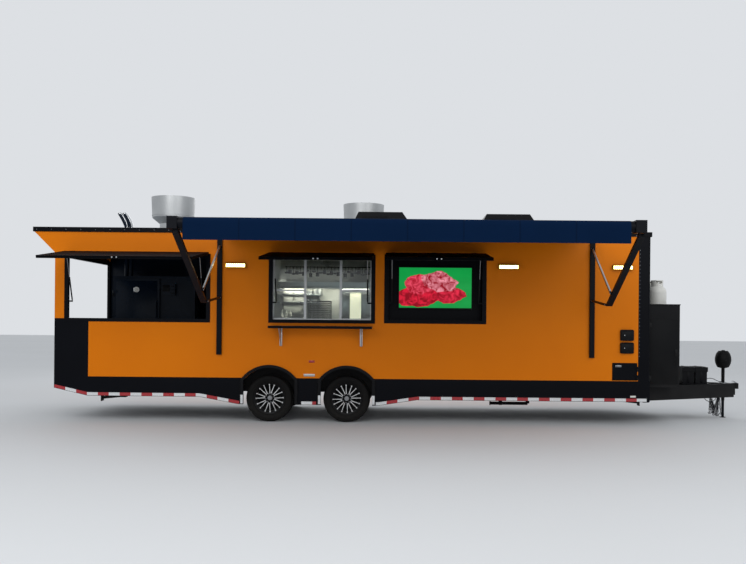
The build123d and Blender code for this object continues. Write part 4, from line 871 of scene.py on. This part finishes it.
for name, (x0, x1, z0, z1) in openings.items():
    pivot = Vector((hatch["hingeY"], z1 + hatch["rise"]))
    reach = z1 - z0 + hatch["rise"] - 8
    a, b = x0 + hatch["lap"], x1 - hatch["lap"]
    near, far, wide = hatch["gasket"], reach - 6, hatch["wide"]
    gasket = [lidStrip(pivot, x, along, (22, 25)) for x, along in (
        ((a + 6, b - 6), (near, near + wide)), ((a + 6, b - 6), (far - wide, far)),
        ((a + 6, a + 6 + wide), (near + wide, far - wide)), ((b - 6 - wide, b - 6), (near + wide, far - wide)))]
    ribs = [lidStrip(pivot, (a + (b - a) * t - 16, a + (b - a) * t + 16), (560, reach - 60), (22, 24.5))
            for t in hatch["ribs"]]
    catches = []
    for x in ((a + b) / 2 - 34, (a + b) / 2 + 34):
        catches.append(addRod((x, *onLid(pivot, reach, 0)), (x, *onLid(pivot, reach + 5, 0)), 13, 10, 20, 1))
        catches.append(lidStrip(pivot, (x - 3, x + 3), (reach + 4, reach + 8), (-11, 11), 0.8))
    hem = [lidStrip(pivot, (a - 1, b + 1), (reach - 26, reach + 1), (-21.5, -20), 0.5)]
    # the ribs take the hatches' black, which is partly painted shade
    for part, group, finish, slot in (("Gasket", gasket, "sealRubber", "black_plastic"),
                                      ("Ribs", ribs, "hatchBlackAndShade", "black_paint"),
                                      ("Latches", catches, "polishedSteel", "zinc"),
                                      ("Hem", hem, "blackPaint", "black_paint")):
        finishPiece(group, f"hatch{part}_{name}", finish, f"hatch_{name}")
print("hatch trim made")

# Screw rows on the opening frames and a drip rail above each
screws, drips = [], []
for x0, x1, z0, z1 in openings.values():
    for x in (x0 + 14, x1 - 14):
        screws += rivets([(x, -1300, z) for z in range(z0 + 60, z1 - 40, 150)], (0, -1, 0), 5, 2)
    drips.append(addSection([(-1300, z1 - 2), (-1304, z1 - 2), (-1304, z1 - 14), (-1300, z1 - 14)],
                            x0 + 4, x1 - x0 - 8))
finishPiece(screws, "frameScrews", "blackWire")
finishPiece(drips, "frameDrips", "blackPaint")

# Window catches, sash tracks and the pulls on the two sliding sashes
window = {"panes": ((3580, 4073), (4697, 5163)), "y": -1251, "sash": 2161, "tracks": (1700, 2110)}
catches = []
y, z = window["y"], window["sash"]
low, high = window["tracks"]
for a, b in window["panes"]:
    middle = (a + b) / 2
    catches += blocks((middle - 32, middle + 32, y - 9, y, z - 8, z + 8, 2),
                      (middle - 12, middle + 20, y - 16, y - 9, z - 3, z + 3, 1.5),
                      (a - 4, b + 4, y - 4, y, low, low + 7, 1), (a - 4, b + 4, y - 4, y, high, high + 7, 1),
                      (a - 4, a + 3, y - 4, y, low, high + 7, 1), (b - 3, b + 4, y - 4, y, low, high + 7, 1))
finishPiece(catches, "sashCatches", "anodised")

# Serving shelf: turned-down hem along the front, bolts through the brackets
shelf = {"x": (3543, 5206), "front": -1645, "top": 1577, "brackets": (3711, 5026),
         "bolts": ((-1310, 1500), (-1310, 1330), (-1400, 1530), (-1540, 1535))}
(x0, x1), front, top = shelf["x"], shelf["front"], shelf["top"]
finishPiece(blocks((x0, x1, front - 3, front, top - 38, top + 2, 1), (x0, x1, front, -1298, top, top + 2, 0.6)),
            "shelfTop", "blackPaint")
fittings = []
for x in shelf["brackets"]:
    fittings += rivets([(x - 5, y, z) for y, z in shelf["bolts"]], (-1, 0, 0), 7, 4)
    fittings += blocks((x - 26, x + 16, -1298, -1295, 1252, 1550, 1))
finishPiece(fittings, "shelfFittings", "brushedStainless")
print("wall fittings made")

# Awning: bright upper links, pivot bolts, ends of the roller and the feet of the wall rails
awning = {"x": (2700, 8790), "upper": (60, 2880), "middle": (1250, 2113), "lower": (60, 2030),
          "foot": (950, 1950), "head": (2600, 2834), "roller": (-3915, 2952), "caps": ((2560, -1), (8880, 1)),
          "bolts": (("upper", 11), ("lower", 11), ("foot", 13), ("middle", 12), ("head", 14))}


# A point of the arms' plane, given as distance from the wall and height
def wallPoint(pair):
    return Vector((-body["half"] - pair[0], pair[1]))


links, bolts, feet, caps = [], [], [], []
for x, turn in zip(awning["x"], (1, -1)):
    start, end = wallPoint(awning["upper"]), wallPoint(awning["middle"])
    run = (end - start).normalized()
    up = Vector((run.y, -run.x)) * 17.8
    start, end = start + run * 34, end - run * 40
    corners = [tuple(p) for p in (start + up, end + up, end - up, start - up)]
    links.append(bevelEdges(addSection(corners, min(x, x + turn * 22) - 0.8, 23.6), 1.5))
    for pair, size in awning["bolts"]:
        y, z = wallPoint(awning[pair])
        side = x + turn * 23
        bolts.append(addRod((side, y, z), (side + turn * 6, y, z), size, size * 0.8, 6, 0.8))
    feet += rivets([(x, -1340, z) for z in (1130, 1180, 2930, 2970)], (0, -1, 0), 9, 4)
    feet += blocks((x - 41.5, x + 41.5, -1341.5, -1296, 1098, 1112, 2),
                   *[(side, side + 6, -1342, -1340, 1116, 2996, 0.8) for side in (x - 30, x + 24)])
y, z = awning["roller"]
for x, aim in awning["caps"]:
    caps.append(addTurned([(0.01, 0), (62, 0), (62, 5), (54, 9), (20, 10), (18, 14), (0.01, 14)],
                          (x, y, z), (aim, 0, 0), 40))
    caps += rivets([(x, y + 46 * cos(angle), z + 46 * sin(angle)) for angle in (0.6, 2.7, 4.8)],
                   (aim, 0, 0), 6, 11)
for group, name, finish in ((links, "awningLinks", "anodised"), (bolts, "awningBolts", "zincPlate"),
                            (feet, "awningRailTrim", "awningCoat"), (caps, "rollerCaps", "awningCoat")):
    finishPiece(group, name, finish)
print("awning fittings made")

# Flues: bright sleeves over the bends above the roof, each with a storm collar
flue = {"x": (510, 596), "y": 760, "straight": (3186, 3250, 3310, 3370), "rise": 270, "radius": 39.5, "arc": 400}
roof = body["roof"]
# the arc leaves the pipe's top and leans back by half its rise
chord = hypot(flue["rise"] * 0.5, flue["rise"])
facing = atan2(flue["rise"], -flue["rise"] * 0.5)
bow = flue["arc"] - (flue["arc"] ** 2 - (chord / 2) ** 2) ** 0.5
sleeves = []
for x in flue["x"]:
    spots = [(x, flue["y"], z) for z in flue["straight"]]
    for t in range(1, 9):
        u = t / 8
        off = bow * 4 * u * (1 - u)
        spots.append((x + chord * u * cos(facing) + off * sin(facing), flue["y"],
                      flue["straight"][-1] + chord * u * sin(facing) - off * cos(facing)))
    sleeves.append(addPipe(spots, flue["radius"], 10))
    sleeves.append(addTurned([(41, 0), (78, 0), (74, 6), (52, 34), (41, 40)], (x, flue["y"], roof), steps=36))
finishPiece(sleeves, "flueSleeves", "polishedSteel")

# Fans: rolled rims, curb flashing with screws and a wire guard
fan = {"places": ((1585, 0), (4964, 700)), "high": 650, "wires": 8, "bends": ((150, 172), (240, 60), (371, 6)),
       "curb": ((-272, -260, -272, 272), (260, 272, -272, 272), (-260, 260, -272, -260), (-260, 260, 260, 272))}
rims, guards = [], []
for x, y in fan["places"]:
    top = roof + fan["high"]
    rims.append(addTurned([(368, -13), (376, -15), (380.5, -10), (381, -3), (377, 0), (370, 0), (366, -6)],
                          (x, y, top), steps=72))
    rims.append(addTurned([(367, 0), (371.5, 4), (371.5, 14), (367, 18), (364, 9)],
                          (x, y, roof + 318), steps=72))
    rims += blocks(*[(x + a, x + b, y + c, y + d, roof + 1, roof + 62, 2) for a, b, c, d in fan["curb"]])
    rims += rivets([(x + step, y - 272, roof + 32) for step in range(-200, 201, 100)], (0, -1, 0), 6, 3)
    for step in range(fan["wires"]):
        angle = 2 * pi * step / fan["wires"]
        guards.append(addPipe([(x + far * cos(angle), y + far * sin(angle), top - low)
                               for far, low in fan["bends"]], 3.5, 3))
    guards.append(addTurned([(150, -3), (153, 0), (150, 3), (147, 0)], (x, y, top - 172), steps=40))
finishPiece(rims, "fanRims", "spunAluminium")
finishPiece(guards, "fanGuards", "zincPlate")

# Roof coolers: louvres on both flanks, grille at the back and a base tray
cooler = {"places": ((5375, -150), (7610, 0)), "half": (505.5, 350), "flank": (110, 287, 22),
          "grille": (60, 229, 28)}
long, half = cooler["half"]
louvres, trays = [], []
for x, y in cooler["places"]:
    back, front = x - long, x + long
    for side in (-1, 1):
        face = y + side * half
        louvres += blocks(*[(back + 120, back + 560, face, face + side * 7, roof + z, roof + z + 12, 2)
                            for z in range(*cooler["flank"])])
        trays += blocks((back - 8, front + 8, face, face + side * 9, roof + 2, roof + 38, 3))
    louvres += blocks(*[(back - 7, back, y - 280, y + 280, roof + z, roof + z + 14, 2)
                        for z in range(*cooler["grille"])])
    trays += blocks(*[(end, end + 9, y - half, y + half, roof + 2, roof + 38, 3)
                      for end in (back - 8, front - 1)])
finishPiece(louvres, "coolerLouvres", "mouldedAbs")
finishPiece(trays, "coolerTrays", "powderCoat")

# Roof sheet seams, rivets along the roof rail and on the front corner posts
seam = {"x": range(420, 9700, 1220), "wide": 44, "half": 1095, "railX": range(-300, 9750, 240), "railY": 1309,
        "railZ": 3122, "rearX": -357.5, "rearY": range(-1200, 1201, 240), "postX": 9574,
        "postZ": range(1130, 3000, 62)}
half = seam["half"]
finishPiece(blocks(*[(x, x + seam["wide"], -half, half, roof, roof + 1.6, 0.6) for x in seam["x"]]),
            "roofSeams", "rolledAluminium")
studs = rivets([(seam["rearX"], y, seam["railZ"]) for y in seam["rearY"]], (-1, 0, 0), 6, 2.5)
for side in (-1, 1):
    studs += rivets([(x, side * seam["railY"], seam["railZ"]) for x in seam["railX"]], (0, side, 0), 6, 2.5)
    studs += rivets([(seam["postX"], side * body["half"], z) for z in seam["postZ"]], (0, side, 0), 6, 2.5)
finishPiece(studs, "shellRivets", "zincPlate")
print("roof fittings made")


# The same boxes on both sides of the trailer, with y given outwards from its middle
def onBothSides(*rows):
    return blocks(*[(x0, x1, side * y0, side * y1, *rest) for side in (-1, 1) for x0, x1, y0, y1, *rest in rows])


# Marker lamps, reflectors above the wheels and the white tape on the flares' lower legs
markers = {"markerBases": (9424, 9527, 449, 489, 5, 1.5, "mouldedAbs", "black_plastic"),
           "markerLenses": (9430, 9521, 455, 483, 9, 3, "whiteEnamel", "lamp"),
           "wheelStrips": (4087, 4267, 752, 793, 4, 1.5, "anodised", "lamp"),
           "sideMarkers": (4168, 4262, 978, 1014, 7, 3, "redLens", "lamp")}
for name, (x0, x1, z0, z1, thick, bevel, finish, slot) in markers.items():
    finishPiece(onBothSides((x0, x1, body["half"], body["half"] + thick, z0, z1, bevel)), name, finish)
legs = {"x": (3077, 4346, 5230), "half": 20, "y": 1321, "z": (302, 445)}
finishPiece(onBothSides(*[(x - legs["half"], x + legs["half"], legs["y"], legs["y"] + 1, *legs["z"], 0.3)
                          for x in legs["x"]]), "flareTape", "tapeWhite")

# Fender flares: bead along the outer edge and screws round each arch
flare = {"crown": 890, "radius": 525, "half": 420, "grow": 41, "foot": 310, "y": 1321, "screws": 547}
radius, half = flare["radius"] + flare["grow"], flare["half"] + flare["grow"]
centre = flare["crown"] - flare["radius"]
limit = atan2((radius ** 2 - half ** 2) ** 0.5, half)


# Points along a flare's arch about x, at a distance from its centre
def archPoints(x, y, far, steps):
    angles = [limit + (pi - 2 * limit) * t / steps for t in range(steps + 1)]
    return [(x + far * cos(angle), y, centre + far * sin(angle)) for angle in angles]


beads = []
for side in (-1, 1):
    y = side * (flare["y"] - 4)
    for x in sorted(wheel["centres"].values()):
        beads.append(addPipe([(x + half, y, flare["foot"]), *archPoints(x, y, radius, 20),
                              (x - half, y, flare["foot"])], 4, 3))
        beads += rivets(archPoints(x, side * flare["y"], flare["screws"], 12)[1:-1], (0, side, 0), 7, 3)
finishPiece(beads, "flareBeads", "mouldedAbs")
print("markers and flares made")

# Front: cabinet doors, vents, hinges and handles; gas valves and rings; battery lids and straps
cabinet = {"hinges": (760, 1640), "sideVents": range(975, 1071, 19), "frontVents": range(1500, 1645, 24)}
doorSheets = onBothSides((9780, 10272, 1100, 1108, 660, 1740, 4), (10300, 10308, 20, 1060, 660, 1740, 4),
                         *[(10205, 10262, 1108, 1113, z, z + 9, 1.5) for z in cabinet["sideVents"]],
                         *[(10308, 10314, 380, 700, z, z + 12, 2) for z in cabinet["frontVents"]])
doorSheets += blocks((9756, 10308, -1108, -1100, 1975, 1992, 2), (10300, 10308, -1108, 1108, 1975, 1992, 2))
finishPiece(doorSheets, "cabinetDoors", "powderCoat")
metal = onBothSides((10222, 10262, 1108, 1114, 1130, 1240, 4), (10308, 10316, 90, 140, 1130, 1240, 4),
                    *[(9782, 9830, 1100, 1112, z - 38, z + 38, 2) for z in cabinet["hinges"]])
for side in (-1, 1):
    metal += [addRod((9790, side * 1112, z - 40), (9790, side * 1112, z + 40), 7, sides=12, bevel=1)
              for z in cabinet["hinges"]]
    metal.append(addRod((10242, side * 1114, 1185), (10242, side * 1124, 1185), 14, 12, 20, 1.5))
finishPiece(metal, "cabinetHandles", "blackWire")
gas = {"x": 10092, "places": (-540, -180), "tray": 1800}
x, z = gas["x"], gas["tray"]
valves, handWheels, rings = [], [], []
for y in gas["places"]:
    handWheels.append(addTurned([(0.01, 0), (26, 0), (30, 3), (28, 6), (30, 9), (26, 12), (0.01, 12)],
                                (x, y, z + 590), steps=16))
    valves.append(addRod((x + 18, y, z + 540), (x + 62, y, z + 540), 15, 13, 6, 2))
    rings.append(addTurned([(154, -3), (158, -1), (158, 3), (154, 5)], (x, y, z + 245), steps=56))
    rings.append(addTurned([(91, 2), (91, 12), (94, 16), (100, 16), (103, 12), (103, 2), (100, -1), (94, -1)],
                           (x, y, z + 596), steps=56))
for group, name, finish in ((valves, "gasValves", "brass"), (handWheels, "gasHandWheels", "mouldedAbs"),
                            (rings, "gasRings", "whiteEnamel")):
    finishPiece(group, name, finish)
battery = {"cases": ((10657, 10883), (10891, 11117)), "ribs": 6, "half": 182}
lids = []
for x0, x1 in battery["cases"]:
    middle, y = (x0 + x1) / 2, battery["half"]
    for step in range(battery["ribs"]):
        x = x0 + 22 + step * (x1 - x0 - 44) / (battery["ribs"] - 1)
        lids += blocks((x - 6, x + 6, -150, 150, 900, 905, 2))
    lids += onBothSides((x0 + 4, x1 - 4, y, y + 4, 822, 836, 1.5),
                        (middle - 20, middle + 20, 170, 176, 626, 820, 1))
    lids += blocks((middle - 20, middle + 20, -186, 186, 905, 908, 1))
finishPiece(lids, "batteryLids", "mouldedAbs")

# Tongue: bolts and latch of the coupler, jack flange, and ribs, screws and socket of the jack's head
tongue = {"end": 11620, "jack": 11452, "ribs": ((934, 114), (1004, 138), (1080, 131), (1150, 111)),
          "screw": range(640, 870, 22)}
end, jack = tongue["end"], tongue["jack"]
hardware = rivets([(end + 12, y, 640) for y in (-50, 50)], (0, 0, 1), 9, 6)
hardware += blocks((end + 30, end + 78, -14, 14, 610, 628, 4))
hardware.append(addPipe([(end + 60, 0, 624), (end + 40, 0, 640), (end + 6, 0, 648)], 7, 4))
hardware.append(addTurned([(29.2, 0), (70, 0), (70, 10), (67, 12), (29.2, 12)], (jack, 0, 610), steps=40))
for angle in (45, 135, 225, 315):
    x, y = jack + 52 * cos(radians(angle)), 52 * sin(radians(angle))
    hardware.append(addRod((x, y, 622), (x, y, 631), 9, sides=6, bevel=1))
finishPiece(hardware, "couplerHardware", "zincPlate")
trim = [addTurned([(r - 4, -4), (r + 1.5, -3), (r + 1.5, 3), (r - 4, 4)], (jack, 0, z))
        for z, r in tongue["ribs"]]
trim.append(addTurned([(0.01, 0), (30, 0), (30, 10), (24, 15), (0.01, 15)], (jack, 0, 1187), steps=32))
trim += [addTurned([(28, -4), (33, 0), (28, 4)], (jack, 0, z), steps=32) for z in tongue["screw"]]
trim += blocks((jack - 26, jack + 26, -146, -132, 985, 1035, 4))
trim.append(addRod((jack, -146, 1010), (jack, -156, 1010), 9, 7, 16, 1))
finishPiece(trim, "jackHeadTrim", "mouldedAbs")

# Slack of the safety chains: doubled back from the eyes in falls that fan out, with a hook at each end
slack = {"topX": 11300, "topZ": 364, "wire": 4.6, "long": 48, "wide": 30, "pitch": 30,
         "falls": ((-12, -208, -21, 7), (-8, -170, -14, 8), (-2, -206, -7, 8), (6, -172, -1, 8),
                   (12, -210, 5, 7), (-10, 170, -3, 8), (-4, 208, 5, 8), (4, 172, 12, 8), (12, 206, 18, 7)),
         "hook": ((0, 0, 6), (0, 0, -22), (12, 0, -44), (0, 0, -60), (-16, 0, -52), (-20, 0, -34))}
links = []
for offset, y, lean, count in slack["falls"]:
    eye = Vector((slack["topX"] + offset, y, slack["topZ"]))
    run = Vector((sin(radians(lean)), 0, -cos(radians(lean))))
    for step in range(count):
        pick()
        bpy.ops.mesh.primitive_torus_add(major_segments=16, minor_segments=8, minor_radius=slack["wire"] / 1000,
                                         major_radius=(slack["wide"] / 2 - slack["wire"]) / 1000)
        ring = bpy.context.object
        ring.scale = (slack["long"] / slack["wide"], 1, 1)
        settle()
        # every second link is turned by a quarter about the fall's line
        quarter = Matrix.Rotation(radians(90 * (step % 2)), 3, "X")
        ring.rotation_euler = (Matrix.Rotation(radians(90 - lean), 3, "Y").inverted() @ quarter).to_euler()
        ring.location = place(*(eye + run * (slack["long"] / 2 + step * slack["pitch"])))
        settle()
        links.append(ring)
    low = eye + run * (slack["long"] + (count - 1) * slack["pitch"])
    links.append(addPipe([tuple(low + Vector(step)) for step in slack["hook"]], 6.5, 3))
finishPiece(links, "chainSlack", "darkSteel")

# Cords on the tongue: a lead arching from the battery boxes and the loop of the breakaway lead
cords = {"radius": 5.5,
         "batteryLead": ((11106, 60, 650), (11150, 60, 668), (11215, 55, 690), (11290, 45, 684),
                         (11360, 30, 650), (11398, 14, 638), (11424, 4, 640)),
         "breakawayLead": ((11062, -166, 365), (11078, -172, 330), (11120, -176, 304), (11165, -176, 296),
                           (11212, -174, 306), (11252, -168, 334), (11268, -160, 365))}
for name in ("batteryLead", "breakawayLead"):
    lead = addPipe(cords[name], cords["radius"], 4)
    # the same Bezier line, followed closely, gives the cord's length
    track = addCurve(cords[name], {"resolution_u": 24})
    path = [tuple(point.co) for point in track.data.vertices]
    bpy.data.objects.remove(track)
    long = sum((Vector(q) - Vector(p)).length for p, q in zip(path, path[1:]))
    finishPiece([lead], name, "blackWire")
print("tongue made")

# Rear doors: raised strips, hinge straps with their bolts, and a latch where the doors meet
rear = {"strips": ((10, 1178, 730, 752), (10, 1178, 1645, 1667), (10, 32, 752, 1645)), "straps": (830, 1476),
        "bolts": (880, 960, 1040), "latch": ((-10, 2, 60, 92, 1180, 1300, 3), (-38, -30, 66, 86, 1130, 1252, 3))}
for sideName, side in sides.items():
    trim = blocks(*[(-3, 2, side * a, side * b, low, high, 1) for a, b, low, high in rear["strips"]])
    for z in rear["straps"]:
        trim += blocks((-6, 2, side * 860, side * 1128, z, z + 42, 2))
        trim += rivets([(-6, side * y, z + 21) for y in rear["bolts"]], (-1, 0, 0), 7, 3)
    finishPiece(trim, f"rearDoorTrim_{sideName}", "powderCoat", f"rear_door_{sideName}")
latch = blocks(*rear["latch"]) + [addRod((-10, 76, 1240), (-30, 76, 1240), 12, bevel=1.5)]
finishPiece(latch, "rearDoorLatch", "polishedSteel", "rear_door_roadside")

# Entry door: bright trim round it, pressed panels, a lever and a grab rail beside it
entry = {"trim": ((7522, 7558, 1295, 1301, 722, 2740, 1.5), (8372, 8408, 1295, 1301, 722, 2740, 1.5),
                  (7558, 8372, 1295, 1301, 2704, 2740, 1.5)),
         "panels": ((7600, 8300, 1295, 1298, 790, 1500, 2), (7600, 8300, 1295, 1298, 1900, 2630, 2),
                    (7790, 8120, 1298, 1301, 1580, 1820, 2)),
         "plate": (7600, 7650, 1295, 1305, 1370, 1530, 3),
         "lever": ((7625, 1305, 1490), (7625, 1330, 1490), (7660, 1335, 1490), (7735, 1335, 1486)),
         "railX": 8480, "railFeet": (1000, 1760),
         "rail": ((1297, 1000), (1320, 1008), (1327, 1050), (1327, 1710), (1320, 1752), (1297, 1760))}
finishPiece(blocks(*entry["trim"]), "entryTrim", "anodised")
finishPiece(blocks(*entry["panels"]), "entryDoorPanels", "orangePaint", "entry_door")
lever = blocks(entry["plate"]) + [addPipe(entry["lever"], 8, 5)]
finishPiece(lever, "entryLever", "polishedSteel", "entry_door")
x = entry["railX"]
rail = [addPipe([(x, y, z) for y, z in entry["rail"]], 11, 6)]
rail += [addRod((x, 1295, z), (x, 1303, z), 30, 26, 24, 1.5) for z in entry["railFeet"]]
finishPiece(rail, "grabRail", "polishedSteel")

# Access door: a latch plate with a bar handle, and a hem round the door
access = {"plate": (9182, 9282, -1303, -1297, 950, 982, 2),
          "bar": ((9196, -1301, 966), (9200, -1318, 966), (9264, -1318, 966), (9268, -1301, 966)),
          "hem": ((9144, 9532, 743, 755), (9144, 9532, 995, 1007), (9144, 9156, 755, 995),
                  (9520, 9532, 755, 995))}
latch = blocks(access["plate"]) + [addPipe(access["bar"], 4.5, 4)]
finishPiece(latch, "accessLatch", "zincPlate", "access_door")
finishPiece(blocks(*[(a, b, -1300, -1297, low, high, 0.8) for a, b, low, high in access["hem"]]),
            "accessDoorHem", "blackPaint", "access_door")

# Smoker: a raised panel and a dial on its door, knobs on the control box, and the racks' wires
smoker = {"panel": (470, 1222, 292, 300, 920, 2362, 6), "dial": (846, 2200),
          "screen": (1330, 1460, 254, 260, 2170, 2290, 3), "knobX": (1490, 1525),
          "knobZ": (2140, 2200, 2260), "racks": 5, "wires": range(470, 1230, 38)}
# the door panel's blue tint is a painted sky reflection
finishPiece(blocks(smoker["panel"]), "smokerDoorPanel", "smokerBlackAndSkyTint", "smoker_door")
x, z = smoker["dial"]
rim = addTurned([(0.01, 0), (52, 0), (56, 4), (56, 12), (50, 16), (48, 12), (0.01, 12)],
                (x, 292, z), (0, -1, 0), 40)
finishPiece([rim], "smokerDial", "polishedSteel", "smoker_door")
finishPiece([addRod((x, 281, z), (x, 279, z), 46, sides=40, bevel=0.6)],
            "smokerDialFace", "whiteEnamel", "smoker_door")
controls = blocks(smoker["screen"])
controls += [addRod((x, 260, z), (x, 246, z), 12, 10, 20, 1.5) for x in smoker["knobX"] for z in smoker["knobZ"]]
finishPiece(controls, "smokerControls", "mouldedAbs")
racks = [915 + rack * 1480 / (smoker["racks"] + 1) for rack in range(1, smoker["racks"] + 1)]
finishPiece([addRod((x, 412, z), (x, 1188, z), 3, sides=6) for z in racks for x in smoker["wires"]],
            "rackWires", "polishedSteel")

# Tail lamps: two red lenses on black bases a side
tail = {"y": (1130, 960), "base": (-4, 0, 76, 675, 720, 2), "lens": (-11, -3, 68, 680, 715, 6)}
for key, name, finish, slot in (("base", "tailBases", "mouldedAbs", "black_plastic"),
                                ("lens", "tailLenses", "redLens", "lamp")):
    x0, x1, half, z0, z1, bevel = tail[key]
    lamps = onBothSides(*[(x0, x1, y - half, y + half, z0, z1, bevel) for y in tail["y"]])
    finishPiece(lamps, name, finish)
print("doors made")

# Power inlets: flip lids with a hinge bar, a latch and a small bright pin
inlet = {"x": 9366, "z": (1473, 1265), "y": -1333}
x, y = inlet["x"], inlet["y"]
lids, pins = [], []
for z in inlet["z"]:
    lids += blocks((x - 96, x + 96, y - 9, y, z - 78, z + 66, 6),
                   (x - 24, x + 24, y - 14, y - 4, z - 88, z - 66, 3))
    lids.append(addRod((x - 80, y - 4, z + 76), (x + 80, y - 4, z + 76), 7, sides=16, bevel=1))
    pins.append(addRod((x - 46, y - 9, z - 2), (x - 46, y - 14, z - 2), 9, 6, 16, 1))
finishPiece(lids, "inletLids", "mouldedAbs")
finishPiece(pins, "inletPins", "polishedSteel")

# Below the deck: drain pipe with its valve and pull
drain = {"y": -470, "z": 262, "x": (7240, 7560, 7880), "pull": (7410, -505, -560, 270),
         "collars": ((7850, 7910, -500, -440, 262, 308, 6), (7380, 7440, -505, -435, 232, 308, 6))}
y, z = drain["y"], drain["z"]
parts = [addPipe([(x, y, z) for x in drain["x"]], 28, 8),
         addRod((7240, y, z), (7222, y, z), 36, sides=28, bevel=3)]
parts += blocks(*drain["collars"])
x, near, far, z = drain["pull"]
parts += [addPipe([(x, near, z), (x, far, z)], 5, 4), addRod((x, far, z), (x, far - 12, z), 16, 12, 20, 2)]
finishPiece(parts, "wasteDrain", "mouldedAbs")
print("underside made")
